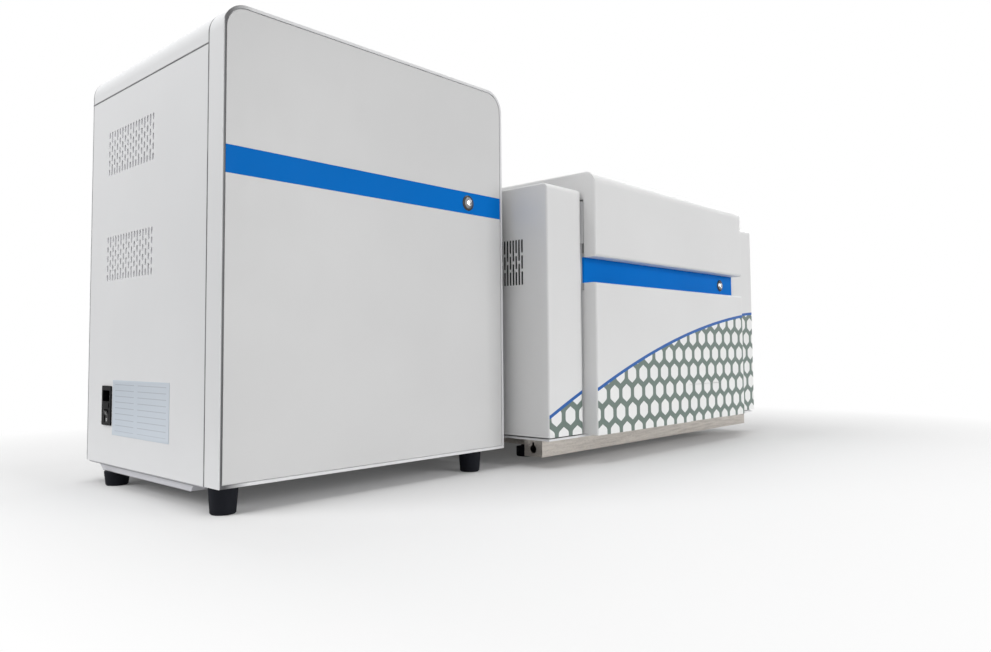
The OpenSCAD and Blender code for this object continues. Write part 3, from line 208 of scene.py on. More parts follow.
def use_group(tree, group, **values):
    """Place a group in a material; a space in an input's name is written as _"""
    made = tree.nodes.new("ShaderNodeGroup")
    made.node_tree = group
    for label, value in values.items():
        plug(tree, value, made.inputs[label.replace("_", " ")])
    return made.outputs


# ---- Effects that several finishes share ----


def make_coating():
    """The fine peel of a sprayed or moulded skin, with slow drifts of tint and gloss"""
    tree, given, result = start_group(
        "coating", {"Peel": 900.0, "Drift": 5.0}, ("Height", "Tint", "Gloss"))
    place = object_place(tree)
    fine = noise(tree, place, given["Peel"], 3.0, 0.6)
    slow = noise(tree, place, given["Drift"], 2.0)
    smear_place = object_place(tree, scale=(1.0, 1.0, 0.35))
    smear = noise(tree, smear_place, 42.0, 4.0, 0.65)
    plug(tree, fine, result["Height"])
    plug(tree, spread(tree, slow, 0.3, 0.7, 0.0, 1.0), result["Tint"])
    plug(tree, spread(tree, smear, 0.35, 0.72, 0.0, 1.0), result["Gloss"])
    return tree


def make_brushing():
    """Long fine scratches; Along is small in the direction the metal was brushed"""
    tree, given, result = start_group(
        "brushing", {"Along": (1.0, 40.0, 40.0), "Fineness": 60.0}, ("Height", "Streak"))
    place = tree.nodes.new("ShaderNodeTexCoord").outputs["Object"]
    stretch = tree.nodes.new("ShaderNodeVectorMath")
    stretch.operation = "MULTIPLY"
    plug(tree, place, stretch.inputs[0])
    plug(tree, given["Along"], stretch.inputs[1])
    fine = noise(tree, stretch.outputs[0], given["Fineness"], 3.0, 0.7)
    wide = noise(tree, stretch.outputs[0], calc(tree, "MULTIPLY", given["Fineness"], 0.12))
    plug(tree, fine, result["Height"])
    both = calc(tree, "MULTIPLY_ADD", fine, 0.6, calc(tree, "MULTIPLY", wide, 0.4))
    plug(tree, spread(tree, both, 0.35, 0.65, 0.0, 1.0), result["Streak"])
    return tree


def make_dust():
    """Thin dust that settles on faces that look up"""
    tree, given, result = start_group("dust", {"Amount": 0.2}, ("Mask",))
    place = object_place(tree)
    _, _, upward = split(tree, tree.nodes.new("ShaderNodeNewGeometry").outputs["Normal"])
    flat = spread(tree, upward, 0.75, 0.98, 0.0, 1.0)
    cloud = spread(tree, noise(tree, place, 14.0, 4.0, 0.6), 0.35, 0.75, 0.3, 1.0)
    specks = spread(tree, noise(tree, place, 700.0, 1.0), 0.3, 0.7, 0.5, 1.0)
    mask = calc(tree, "MULTIPLY", calc(tree, "MULTIPLY", flat, cloud), specks)
    plug(tree, calc(tree, "MULTIPLY", mask, given["Amount"]), result["Mask"])
    return tree


def make_edge_rub():
    """Edges that handling has rubbed brighter"""
    tree, given, result = start_group("edge_rub", {"Width": 0.0006}, ("Mask",))
    rounded = tree.nodes.new("ShaderNodeBevel")
    rounded.samples = 4
    plug(tree, given["Width"], rounded.inputs["Radius"])
    flat = tree.nodes.new("ShaderNodeNewGeometry").outputs["Normal"]
    together = tree.nodes.new("ShaderNodeVectorMath")
    together.operation = "DOT_PRODUCT"
    plug(tree, rounded.outputs["Normal"], together.inputs[0])
    plug(tree, flat, together.inputs[1])
    turned = spread(tree, together.outputs["Value"], 0.995, 0.93, 0.0, 1.0)
    patchy = spread(tree, noise(tree, object_place(tree), 160.0, 3.0), 0.35, 0.65, 0.4, 1.0)
    plug(tree, calc(tree, "MULTIPLY", turned, patchy), result["Mask"])
    return tree


COATING = make_coating()
BRUSHING = make_brushing()
DUST = make_dust()
EDGE_RUB = make_edge_rub()

# ---- Finishes ----

DUST_COLOUR = (0.62, 0.60, 0.56, 1.0)
# Pairs of close tints and the roughness that several finishes share
PAINT_LIGHT = (0.80, 0.805, 0.815)
PAINT_DEEP = (0.775, 0.78, 0.79)
PAINT_ROUGH = (0.34, 0.46)
COVER_LIGHT = (0.80, 0.80, 0.80)
COVER_DEEP = (0.775, 0.775, 0.775)
COVER_ROUGH = (0.36, 0.48)
BLACK_LIGHT = (0.005, 0.005, 0.006)
BLACK_DEEP = (0.009, 0.009, 0.010)
BLUE_LIGHT = (0.0, 0.178, 0.64)
BLUE_DEEP = (0.0, 0.168, 0.61)
BLUE_ROUGH = (0.36, 0.46)


def start_finish(name):
    """An empty material with its Principled shader"""
    finish = bpy.data.materials.new(name)
    finish.use_nodes = True
    tree = finish.node_tree
    shader = tree.nodes["Principled BSDF"]
    return finish, tree, shader


def bump(tree, shader, height, strength, distance):
    """Feed the shader's normal from a height"""
    made = tree.nodes.new("ShaderNodeBump")
    made.inputs["Strength"].default_value = strength
    made.inputs["Distance"].default_value = distance
    plug(tree, height, made.inputs["Height"])
    plug(tree, made.outputs["Normal"], shader.inputs["Normal"])


def coated(name, light, deep, rough, peel=900.0, depth=0.00003, dust=0.0, shine=0.4):
    """Paint or moulded plastic: two close tints, a fine peel and uneven gloss"""
    finish, tree, shader = start_finish(name)
    skin = use_group(tree, COATING, Peel=peel)
    colour = blend_colours(tree, skin["Tint"], light + (1.0,), deep + (1.0,))
    plug(tree, colour, shader.inputs["Base Color"])
    if dust > 0.0:
        paint_over(tree, shader, use_group(tree, DUST, Amount=dust)["Mask"], DUST_COLOUR)
    gloss = spread(tree, skin["Gloss"], 0.0, 1.0, rough[0], rough[1])
    plug(tree, gloss, shader.inputs["Roughness"])
    shader.inputs["Specular IOR Level"].default_value = shine
    bump(tree, shader, skin["Height"], 0.5, depth)
    return finish, tree, shader


def machined(name, light, deep, rough, along, fineness=60.0, metallic=1.0, rub=None):
    """Metal with long tool or brush marks; rub is the colour of its worn edges"""
    finish, tree, shader = start_finish(name)
    grain = use_group(tree, BRUSHING, Along=along, Fineness=fineness)
    colour = blend_colours(tree, grain["Streak"], light + (1.0,), deep + (1.0,))
    plug(tree, colour, shader.inputs["Base Color"])
    if rub is not None:
        paint_over(tree, shader, use_group(tree, EDGE_RUB)["Mask"], rub + (1.0,))
    gloss = spread(tree, grain["Streak"], 0.0, 1.0, rough[0], rough[1])
    plug(tree, gloss, shader.inputs["Roughness"])
    shader.inputs["Metallic"].default_value = metallic
    bump(tree, shader, grain["Height"], 0.35, 0.00002)
    return finish, tree, shader


def circle_through(first, second, third):
    """Centre and radius of the circle through three places in a plane"""
    (ax, ay), (bx, by), (cx, cy) = first, second, third
    twist = 2 * (ax * (by - cy) + bx * (cy - ay) + cx * (ay - by))
    squares = (ax * ax + ay * ay, bx * bx + by * by, cx * cx + cy * cy)
    middle_x = (squares[0] * (by - cy) + squares[1] * (cy - ay) + squares[2] * (ay - by)) / twist
    middle_y = (squares[0] * (cx - bx) + squares[1] * (ax - cx) + squares[2] * (bx - ax)) / twist
    return middle_x, middle_y, math.hypot(ax - middle_x, ay - middle_y)


# The printed field on the analyser's front, in millimetres from the analyser's corner
ARC_X, ARC_Z, ARC_R = circle_through((0.0, 33.0), (388.0, 165.0), (776.0, 224.0))
PRINT_LINE_W = 5.5
HEXAGON_PITCH = 38.0
HEXAGON_HALF = 13.8
HEXAGON_ROUND = 5.0
# How soft the print's outlines are, and how far it wraps round the front edges
PRINT_EDGE = 0.25
PRINT_WRAP = 0.9
PRINT_WRAP_FADE = 0.1


def hexagon_distance(tree, across, up, shift):
    """How far a place is from the middle of its hexagon, measured square to the nearest side"""
    row_pitch = HEXAGON_PITCH * math.sqrt(3)
    near_x = calc(tree, "ADD", across, HEXAGON_PITCH * shift)
    near_x = calc(tree, "ABSOLUTE", calc(tree, "WRAP", near_x, HEXAGON_PITCH / 2, -HEXAGON_PITCH / 2))
    near_z = calc(tree, "ADD", up, row_pitch * shift)
    near_z = calc(tree, "ABSOLUTE", calc(tree, "WRAP", near_z, row_pitch / 2, -row_pitch / 2))
    slanted = calc(tree, "MULTIPLY_ADD", near_z, math.sqrt(3) / 2, calc(tree, "MULTIPLY", near_x, 0.5))
    return calc(tree, "SMOOTH_MAX", near_x, slanted, HEXAGON_ROUND)


def make_print():
    """Masks of the hexagon field: inside the field, on its border line, and on a hexagon"""
    tree, given, result = start_group("hexagon_print", {"Front": 0.0}, ("Field", "Line", "Hexagon"))
    across, back, up = place_mm(tree, ANALYSER)
    level = calc(tree, "SUBTRACT", back, given["Front"])
    facing_front = spread(tree, level, PRINT_WRAP, PRINT_WRAP + PRINT_WRAP_FADE, 1.0, 0.0)
    from_middle = radius_of(tree, calc(tree, "SUBTRACT", across, ARC_X),
                            calc(tree, "SUBTRACT", up, ARC_Z))
    inward = calc(tree, "SUBTRACT", ARC_R, from_middle)
    half = PRINT_LINE_W / 2
    covered = spread(tree, inward, -half - PRINT_EDGE, -half, 0.0, 1.0)
    below = spread(tree, inward, half, half + PRINT_EDGE, 0.0, 1.0)
    away = calc(tree, "MINIMUM", hexagon_distance(tree, across, up, 0.0),
                hexagon_distance(tree, across, up, 0.5))
    on_hexagon = spread(tree, away, HEXAGON_HALF - PRINT_EDGE, HEXAGON_HALF, 1.0, 0.0)
    plug(tree, calc(tree, "MULTIPLY", facing_front, covered), result["Field"])
    plug(tree, calc(tree, "SUBTRACT", 1.0, below), result["Line"])
    plug(tree, on_hexagon, result["Hexagon"])
    return tree


PRINT = make_print()
PRINT_BLUE = (0.0, 0.10, 0.40, 1.0)
PRINT_GREY = (0.150, 0.202, 0.178, 1.0)
PRINT_WHITE = (0.89, 0.895, 0.89, 1.0)


def printed(name, front):
    """The moulded covers' finish with the hexagon field on the faces at one depth"""
    finish, tree, shader = coated(name, COVER_LIGHT, COVER_DEEP, COVER_ROUGH, 1000.0, 0.00003, 0.05)
    masks = use_group(tree, PRINT, Front=front)
    field = blend_colours(tree, masks["Hexagon"], PRINT_GREY, PRINT_WHITE)
    inked = blend_colours(tree, masks["Line"], field, PRINT_BLUE)
    paint_over(tree, shader, masks["Field"], inked)
    return finish


def make_seam_shade():
    """Painted shade along a cabinet's seams, broken up by noise; Mask is 1 on a seam"""
    tree, given, result = start_group(
        "seam_shades", {"Place": 0.0, "Middle": 0.0, "Half width": 0.001}, ("Mask",))
    away = calc(tree, "ABSOLUTE", calc(tree, "SUBTRACT", given["Place"], given["Middle"]))
    share = calc(tree, "DIVIDE", away, given["Half width"])
    soft = spread(tree, share, 0.45, 1.0, 1.0, 0.0)
    broken = spread(tree, noise(tree, object_place(tree), 30.0, 3.0), 0.3, 0.6, 0.75, 1.0)
    plug(tree, calc(tree, "MULTIPLY", soft, broken), result["Mask"])
    return tree


SEAM_SHADE = make_seam_shade()
SEAM_SHADE_COLOUR = (0.20, 0.20, 0.21, 1.0)
# Each painted seam shade's axis, middle and half width, in millimetres from the tower's corner; on the
# tray it lies along the panel's lower edge and the tray's steps
PANEL_SEAM_SHADE = (("y", 36.9, 1.6), ("z", 554.0, 1.9), ("y", 405.5, 1.2))
TRAY_STEP_SHADE = (("z", -0.2, 0.9), ("z", -3.3, 1.0), ("z", -12.0, 0.8))
BEZEL_SEAM_SHADE = (("y", 36.0, 1.3),)


def seam_shaded(parts, seam_shades):
    """Paint shade into a finish along seams"""
    finish, tree, shader = parts
    places = dict(zip("xyz", place_mm(tree, TOWER)))
    for axis, middle, half in seam_shades:
        mask = use_group(tree, SEAM_SHADE, Place=places[axis], Middle=middle, Half_width=half)["Mask"]
        paint_over(tree, shader, mask, SEAM_SHADE_COLOUR)
    return finish


# Painted shade along the front plate's left side, where the bezel's rounded edge meets it: how deep it
# goes and where it starts and fades out again, in millimetres from the tower's corner
LEFT_EDGE_SHADE_COLOUR = (0.085, 0.085, 0.09, 1.0)
LEFT_EDGE_SHADE_DEPTH = (1.2, 2.6)
LEFT_EDGE_SHADE_START = (0.6, 2.0)
LEFT_EDGE_SHADE_END = (8.0, 40.0)


def left_edge_shaded_cover():
    """The bezel's finish, with painted shade along the front plate's left side and along its seam"""
    finish, tree, shader = coated("left_edge_shaded_cover", PAINT_LIGHT, PAINT_DEEP,
                                  COVER_ROUGH, 1000.0, 0.00003, 0.05)
    across, back, _ = place_mm(tree, TOWER)
    front = spread(tree, back, *LEFT_EDGE_SHADE_DEPTH, 1.0, 0.0)
    left = calc(tree, "MULTIPLY", spread(tree, across, *LEFT_EDGE_SHADE_START, 0.0, 1.0),
                spread(tree, across, *LEFT_EDGE_SHADE_END, 1.0, 0.0))
    paint_over(tree, shader, calc(tree, "MULTIPLY", front, left), LEFT_EDGE_SHADE_COLOUR)
    return seam_shaded((finish, tree, shader), BEZEL_SEAM_SHADE)


LAP_FADE = 0.6 * MM
LAPPED_GREY = (0.45, 0.45, 0.45, 1.0)


def recess_blue():
    """The recess panel: blue where it shows, and plain grey on the edges that are lapped"""
    finish, tree, shader = coated("recess_blue", BLUE_LIGHT, BLUE_DEEP, BLUE_ROUGH,
                                  1200.0, 0.00001, 0.0, 0.03)
    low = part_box("lower_front_cover")[1].z
    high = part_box("hood")[0].z
    _, _, up = split(tree, object_place(tree))
    lapped = calc(tree, "ADD", spread(tree, up, low - LAP_FADE, low, 1.0, 0.0),
                  spread(tree, up, high, high + LAP_FADE, 0.0, 1.0))
    paint_over(tree, shader, lapped, LAPPED_GREY)
    return finish


# The rating plate's empty rows, in millimetres from the tower's corner
ROW_HALF_PITCH = 4.2
RULE_HALF_WIDTH = (0.35, 0.7)
ROWS_LEFT = (140.0, 228.0)
ROWS_RIGHT = (240.0, 304.0)
ROWS_UP = (50.0, 118.0)
RULE_FADE = 0.5
RULE_STRENGTH = 0.55
RULE_COLOUR = (0.30, 0.33, 0.38, 1.0)


def ruled_plate():
    """The bare rating plate: pale blue-grey with two fields of empty ruled rows"""
    finish, tree, shader = coated("ruled_plate", (0.60, 0.66, 0.73), (0.58, 0.64, 0.71),
                                  (0.30, 0.40), 900.0, 0.00001, 0.0, 0.4)
    _, back, up = place_mm(tree, TOWER)
    row = calc(tree, "ABSOLUTE", calc(tree, "WRAP", up, ROW_HALF_PITCH, -ROW_HALF_PITCH))
    rule = spread(tree, row, *RULE_HALF_WIDTH, 1.0, 0.0)
    fields = calc(tree, "ADD", between(tree, back, *ROWS_LEFT, RULE_FADE),
                  between(tree, back, *ROWS_RIGHT, RULE_FADE))
    inked = calc(tree, "MULTIPLY", fields, between(tree, up, *ROWS_UP, RULE_FADE))
    inked = calc(tree, "MULTIPLY", calc(tree, "MULTIPLY", inked, rule), RULE_STRENGTH)
    paint_over(tree, shader, inked, RULE_COLOUR)
    return finish


# The power sign on the buttons' caps, in millimetres: its ring's radius, half widths of the
# ring's line, of the ring's gap and of the bar, and the bar's upper end
POWER_RING = 4.2
POWER_LINE = 0.7
POWER_GAP = 1.6
POWER_BAR = 0.55
POWER_BAR_TOP = 5.6
LINE_FADE = 0.15
GAP_FADE = 0.2
ETCHED = (0.85, 0.85, 0.85, 1.0)


def button_cap():
    """A button's chrome cap, its base colour darkened as a painted dark reflection, with a
    ring-and-bar power sign etched in it
    """
    finish, tree, shader = machined("button_chrome_painted_dark", (0.30, 0.30, 0.31), (0.24, 0.24, 0.25),
                                    (0.12, 0.20), (30.0, 30.0, 30.0), 20.0)
    across, _, up = place_mm(tree)
    signs = 0.0
    for name in ("tower_power_button", "analyser_power_button"):
        low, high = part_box(name)
        middle = (low + high) / 2 / MM
        from_x = calc(tree, "SUBTRACT", across, middle.x)
        from_z = calc(tree, "SUBTRACT", up, middle.z)
        away = radius_of(tree, from_x, from_z)
        ring = calc(tree, "ABSOLUTE", calc(tree, "SUBTRACT", away, POWER_RING))
        ring = spread(tree, ring, POWER_LINE, POWER_LINE + LINE_FADE, 1.0, 0.0)
        narrow = calc(tree, "ABSOLUTE", from_x)
        upper = spread(tree, from_z, 0.0, GAP_FADE, 0.0, 1.0)
        gap = spread(tree, narrow, POWER_GAP, POWER_GAP + GAP_FADE, 1.0, 0.0)
        gap = calc(tree, "MULTIPLY", gap, upper)
        ring = calc(tree, "MULTIPLY", ring, calc(tree, "SUBTRACT", 1.0, gap))
        bar = spread(tree, narrow, POWER_BAR, POWER_BAR + LINE_FADE, 1.0, 0.0)
        bar = calc(tree, "MULTIPLY", bar, upper)
        bar_end = spread(tree, from_z, POWER_BAR_TOP, POWER_BAR_TOP + GAP_FADE, 1.0, 0.0)
        bar = calc(tree, "MULTIPLY", bar, bar_end)
        signs = calc(tree, "MAXIMUM", signs, calc(tree, "MAXIMUM", ring, bar))
    paint_over(tree, shader, signs, ETCHED)
    return finish


# The marks on the mains rockers, in millimetres: how far they stand from the rocker's middle,
# the bar's half width and half height, and the ring's radius and half width
MARK_WHITE = (0.72, 0.72, 0.72, 1.0)
MARK_OFFSET = 4.6
MARK_BAR = (0.4, 1.9)
MARK_RING = 1.7
MARK_RING_HALF = 0.35
MARK_FADE = 0.1


def marked_rocker(name, node, across_axis):
    """A rocker's black plastic with a bar on its upper half and a ring on its lower half"""
    finish, tree, shader = coated(name, BLACK_LIGHT, BLACK_DEEP, (0.3, 0.4),
                                  1300.0, 0.00002, 0.0, 0.15)
    low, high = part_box(node)
    middle = (low + high) / 2 / MM
    places = dict(zip("xyz", place_mm(tree)))
    across = calc(tree, "SUBTRACT", places[across_axis], getattr(middle, across_axis))
    up = calc(tree, "SUBTRACT", places["z"], middle.z)
    narrow = calc(tree, "ABSOLUTE", across)
    tall = calc(tree, "ABSOLUTE", calc(tree, "SUBTRACT", up, MARK_OFFSET))
    half_w, half_h = MARK_BAR
    bar = calc(tree, "MULTIPLY", spread(tree, narrow, half_w, half_w + MARK_FADE, 1.0, 0.0),
               spread(tree, tall, half_h, half_h + MARK_FADE, 1.0, 0.0))
    away = radius_of(tree, across, calc(tree, "ADD", up, MARK_OFFSET))
    ring = calc(tree, "ABSOLUTE", calc(tree, "SUBTRACT", away, MARK_RING))
    ring = spread(tree, ring, MARK_RING_HALF, MARK_RING_HALF + MARK_FADE, 1.0, 0.0)
    paint_over(tree, shader, calc(tree, "MAXIMUM", bar, ring), MARK_WHITE)
    return finish


# Traces and pads repeat along a board; the half lengths at which they end are in millimetres
TRACE_HALF_PITCH = 3.1
PAD_HALF_PITCH = 13.0
TRACE_WIDTH = (0.35, 0.5)
TRACE_LENGTH = (7.0, 7.2)
PAD_SIDE = (0.9, 1.0)
LEVEL_FADE = 0.1
TRACE_GREEN = (0.03, 0.19, 0.08, 1.0)
PAD_TIN = (0.62, 0.60, 0.55, 1.0)
CHIP_BLACK = (0.02, 0.02, 0.022, 1.0)


def circuit_board(name, node, axis, low_mm, high_mm):
    """Green laminate with traces; what stands on it, past the laminate's two faces, is dark"""
    finish, tree, shader = coated(name, (0.012, 0.10, 0.05), (0.01, 0.085, 0.045),
                                  (0.25, 0.35), 500.0, 0.00002, 0.1, 0.5)
    places = dict(zip("xyz", place_mm(tree)))
    edge = getattr(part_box(node)[0], axis) / MM
    level = calc(tree, "SUBTRACT", places[axis], edge)
    flat = [letter for letter in "xyz" if letter != axis]
    first = calc(tree, "WRAP", places[flat[0]], TRACE_HALF_PITCH, -TRACE_HALF_PITCH)
    first = calc(tree, "ABSOLUTE", first)
    second = calc(tree, "WRAP", places[flat[1]], PAD_HALF_PITCH, -PAD_HALF_PITCH)
    second = calc(tree, "ABSOLUTE", second)
    trace = calc(tree, "MULTIPLY", spread(tree, first, *TRACE_WIDTH, 1.0, 0.0),
                 spread(tree, second, *TRACE_LENGTH, 1.0, 0.0))
    paint_over(tree, shader, trace, TRACE_GREEN)
    pads = calc(tree, "MULTIPLY", spread(tree, first, *PAD_SIDE, 1.0, 0.0),
                spread(tree, second, *PAD_SIDE, 1.0, 0.0))
    paint_over(tree, shader, pads, PAD_TIN)
    parts = calc(tree, "ADD", spread(tree, level, low_mm - LEVEL_FADE, low_mm, 1.0, 0.0),
                 spread(tree, level, high_mm, high_mm + LEVEL_FADE, 0.0, 1.0))
    paint_over(tree, shader, parts, CHIP_BLACK)
    return finish


# How far apart the coloured discs stand across and back, and the hue's step for each
TINT_PITCH = (43.0, 42.0)
HUE_STEP = (0.13, 0.29)


def tinted_glass():
    """Filter glass whose colour steps along the row of lasers and detectors"""
    finish, tree, shader = start_finish("tinted_glass")
    across, back, _ = place_mm(tree)
    step = calc(tree, "FLOOR", calc(tree, "DIVIDE", across, TINT_PITCH[0]))
    row = calc(tree, "FLOOR", calc(tree, "DIVIDE", back, TINT_PITCH[1]))
    hue = calc(tree, "MULTIPLY_ADD", step, HUE_STEP[0], calc(tree, "MULTIPLY", row, HUE_STEP[1]))
    mixed = tree.nodes.new("ShaderNodeCombineColor")
    mixed.mode = "HSV"
    plug(tree, calc(tree, "FRACT", hue), mixed.inputs[0])
    plug(tree, 0.85, mixed.inputs[1])
    cloud = noise(tree, object_place(tree), 900.0)
    plug(tree, spread(tree, cloud, 0.3, 0.7, 0.42, 0.5), mixed.inputs[2])
    plug(tree, mixed.outputs[0], shader.inputs["Base Color"])
    gloss = spread(tree, noise(tree, object_place(tree), 60.0), 0.3, 0.7, 0.06, 0.14)
    plug(tree, gloss, shader.inputs["Roughness"])
    return finish


cover_paint = coated("cover_paint", PAINT_LIGHT, PAINT_DEEP, PAINT_ROUGH, 700.0, 0.00004, 0.05)[0]
front_silver = coated("front_silver", (0.70, 0.70, 0.70), (0.67, 0.67, 0.67),
                      (0.30, 0.40), 1100.0, 0.00002)[0]
# The tower's sheets, tray and bezel carry painted shade along their seams and steps
tower_paint = seam_shaded(coated("tower_paint", PAINT_LIGHT, PAINT_DEEP, PAINT_ROUGH,
                            700.0, 0.00004, 0.05), PANEL_SEAM_SHADE)
tray_paint = seam_shaded(coated("tray_paint", (0.62, 0.62, 0.655), (0.60, 0.60, 0.635),
                           PAINT_ROUGH, 700.0, 0.00004), TRAY_STEP_SHADE)
bezel_paint = left_edge_shaded_cover()
accent_blue = coated("accent_blue", BLUE_LIGHT, BLUE_DEEP, BLUE_ROUGH,
                     1200.0, 0.00001, 0.0, 0.03)[0]
rubber = coated("rubber", (0.008, 0.009, 0.013), (0.013, 0.014, 0.018),
                (0.55, 0.75), 1500.0, 0.00005, 0.0, 0.08)[0]
black_plastic = coated("black_plastic", BLACK_LIGHT, BLACK_DEEP,
                       (0.42, 0.55), 1300.0, 0.00003, 0.03, 0.06)[0]
white_plastic = coated("white_plastic", (0.74, 0.73, 0.70), (0.70, 0.69, 0.66),
                       (0.38, 0.5), 1200.0, 0.00002, 0.05)[0]
moulded_cover = coated("moulded_cover", COVER_LIGHT, COVER_DEEP, COVER_ROUGH,
                       1000.0, 0.00003, 0.05)[0]
# Where the hood's front lies, in millimetres from the analyser's corner; the drawer's front and
# the lower cover are printed at that depth
FRONT_LEVEL = (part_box("hood")[0].y - ANALYSER.y) / MM
printed_columns = printed("printed_columns", 0.0)
printed_front = printed("printed_front", FRONT_LEVEL)
stainless = machined("stainless", (0.66, 0.615, 0.565), (0.36, 0.332, 0.305),
                     (0.24, 0.42), (3.0, 40.0, 40.0))[0]
bare_alloy = machined("bare_alloy", (0.66, 0.67, 0.69), (0.56, 0.57, 0.59),
                      (0.34, 0.48), (40.0, 1.0, 40.0), 40.0, rub=(0.8, 0.8, 0.82))[0]
black_anodised = machined("black_anodised", (0.020, 0.020, 0.022), (0.032, 0.032, 0.035),
                          (0.36, 0.5), (40.0, 1.0, 40.0), 40.0, 0.6, (0.16, 0.16, 0.17))[0]
chrome = machined("chrome", (0.62, 0.62, 0.63), (0.55, 0.55, 0.56),
                  (0.05, 0.10), (30.0, 30.0, 30.0), 20.0)[0]
# The button rings' chrome is darkened in colour: a painted dark reflection
chrome_painted_dark = machined("chrome_painted_dark", (0.075, 0.072, 0.07), (0.05, 0.048, 0.046),
                       (0.16, 0.24), (30.0, 30.0, 30.0), 20.0)[0]
button_chrome_painted_dark = button_cap()
recess_paint = recess_blue()
tower_rocker_plastic = marked_rocker("tower_rocker_plastic", "tower_rocker", "y")
analyser_rocker_plastic = marked_rocker("analyser_rocker_plastic", "analyser_rocker", "x")
# The two levels that hold each board's laminate, above its node's lower edge in millimetres
control_laminate = circuit_board("control_laminate", "control_board", "x", 12.0, 13.7)
main_laminate = circuit_board("main_laminate", "tower_main_board", "z", 7.9, 9.7)
detector_laminate = circuit_board("detector_laminate", "tower_detector_boards", "z", 0.0, 1.8)
coloured_glass = tinted_glass()
GLASS_CLEARNESS = 0.9
clear_glass, _, glass_shader = coated("clear_glass", (0.9, 0.93, 0.95), (0.87, 0.91, 0.93),
                                      (0.02, 0.05), 500.0, 0.000001)
glass_shader.inputs["Transmission Weight"].default_value = GLASS_CLEARNESS
plate_paint = ruled_plate()
pale_foam = coated("pale_foam", (0.78, 0.77, 0.80), (0.70, 0.69, 0.73),
                   (0.85, 0.95), 500.0, 0.0003, 0.0, 0.1)[0]
dark_foam = coated("dark_foam", (0.030, 0.031, 0.033), (0.022, 0.023, 0.025),
                   (0.85, 0.95), 500.0, 0.0003, 0.0, 0.1)[0]

FINISHES = {
    tower_paint: "tower_left_panel tower_right_panel tower_rear_panel tower_top_cover",
    tray_paint: "tower_base_tray",
    bezel_paint: "tower_front_bezel",
    cover_paint: "base_plate rear_cover inner_frame",
    moulded_cover: "hood",
    printed_columns: "left_cover right_cover",
    printed_front: "lower_front_cover drawer_front",
    front_silver: "tower_front_plate",
    accent_blue: "tower_stripe",
    recess_paint: "recess_panel",
    rubber: "tower_feet base_pads bench_mounts",
    stainless: """base_rails cross_members hinge_fixed_leaves hinge_moving_leaves
        hinge_pins stage_runners fluid_ports""",
    chrome_painted_dark: "button_rings",
    button_chrome_painted_dark: "tower_power_button analyser_power_button",
    tower_rocker_plastic: "tower_rocker",
    analyser_rocker_plastic: "analyser_rocker",
    black_plastic: """power_inlets fan_frames tower_left_fan_rotor
        tower_right_fan_rotor analyser_fan_rotor""",
    black_anodised: "optical_bench detector_boxes tower_spectrographs probe_carriage",
    bare_alloy: """tower_frame tower_optical_deck tower_power_supply tower_fibre_port
        plate_stage probe_column laser_modules beam_optics flow_cell_mount filter_caps
        pump_head analyser_power_supply""",
    detector_laminate: "tower_detector_boards",
    main_laminate: "tower_main_board",
    control_laminate: "control_board",
    clear_glass: "flow_cell",
    white_plastic: "fluid_manifold sheath_filter pump_rotor",
}


def dress_nodes():
    """Give each CAD node its finish"""
    for finish, names in FINISHES.items():
        for name in names.split():
            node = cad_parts[name]
            if len(node.material_slots) == 0:
                node.data.materials.append(finish)
            for place in node.material_slots:
                place.material = finish


dress_nodes()

# ---- Pieces ----


def start_fresh():
    """Nothing selected, in object mode, before a primitive is added"""
    bpy.ops.object.select_all(action="DESELECT")


def add_block(name, low, high):
    """A box between two corners, with its place in its mesh"""
    start_fresh()
    bpy.ops.mesh.primitive_cube_add(size=1, location=(low + high) / 2, scale=high - low)
    block = bpy.context.object
    block.name = name
    bpy.ops.object.transform_apply(location=True, rotation=True, scale=True)
    return block


TURN_TO = {"x": (0.0, math.pi / 2, 0.0), "y": (math.pi / 2, 0.0, 0.0), "z": (0.0, 0.0, 0.0)}


def add_disc(name, middle, radius, depth, axis, sides=32):
    """A closed cylinder about an axis, with its place in its mesh"""
    start_fresh()
    bpy.ops.mesh.primitive_cylinder_add(vertices=sides, radius=radius, depth=depth,
                                        location=middle, rotation=TURN_TO[axis])
    disc = bpy.context.object
    disc.name = name
    bpy.ops.object.transform_apply(location=True, rotation=True, scale=True)
    return disc


def pick_faces(piece, test):
    """Enter edit mode with the faces selected that pass a test on centre and normal"""
    bpy.context.view_layer.objects.active = piece
    bpy.ops.object.mode_set(mode="EDIT")
    bpy.ops.mesh.select_mode(type="FACE")
    bpy.ops.mesh.select_all(action="DESELECT")
    mesh = bmesh.from_edit_mesh(piece.data)
    for face in mesh.faces:
        if test(face.calc_center_median(), face.normal):
            face.select_set(True)
    bmesh.update_edit_mesh(piece.data)


def leave_edit():
    """Back to object mode"""
    bpy.ops.object.mode_set(mode="OBJECT")


def facing(direction):
    """A test that passes faces which look in a direction"""
    aim = Vector(direction)
    return lambda centre, normal: normal.dot(aim) > 0.9


def soften(piece, width, segments=2, angle=40):
    """Round the sharp edges and smooth the shading"""
    bpy.context.view_layer.objects.active = piece
    bevel = piece.modifiers.new("soften", "BEVEL")
    bevel.width = width
    bevel.segments = segments
    bevel.limit_method = "ANGLE"
    bevel.angle_limit = math.radians(angle)
    bpy.ops.object.modifier_apply(modifier=bevel.name)
    start_fresh()
    piece.select_set(True)
    bpy.ops.object.shade_smooth_by_angle(angle=math.radians(angle))


def give(piece, finish, body="cabinets"):
    """Finish a piece and let it ride on its body"""
    piece.data.materials.clear()
    piece.data.materials.append(finish)
    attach(piece, body)


def join_pieces(name, parts):
    """Several pieces of one kind as one object"""
    start_fresh()
    for part in parts:
        part.select_set(True)
    bpy.context.view_layer.objects.active = parts[0]
    bpy.ops.object.join()
    parts[0].name = name
    return parts[0]


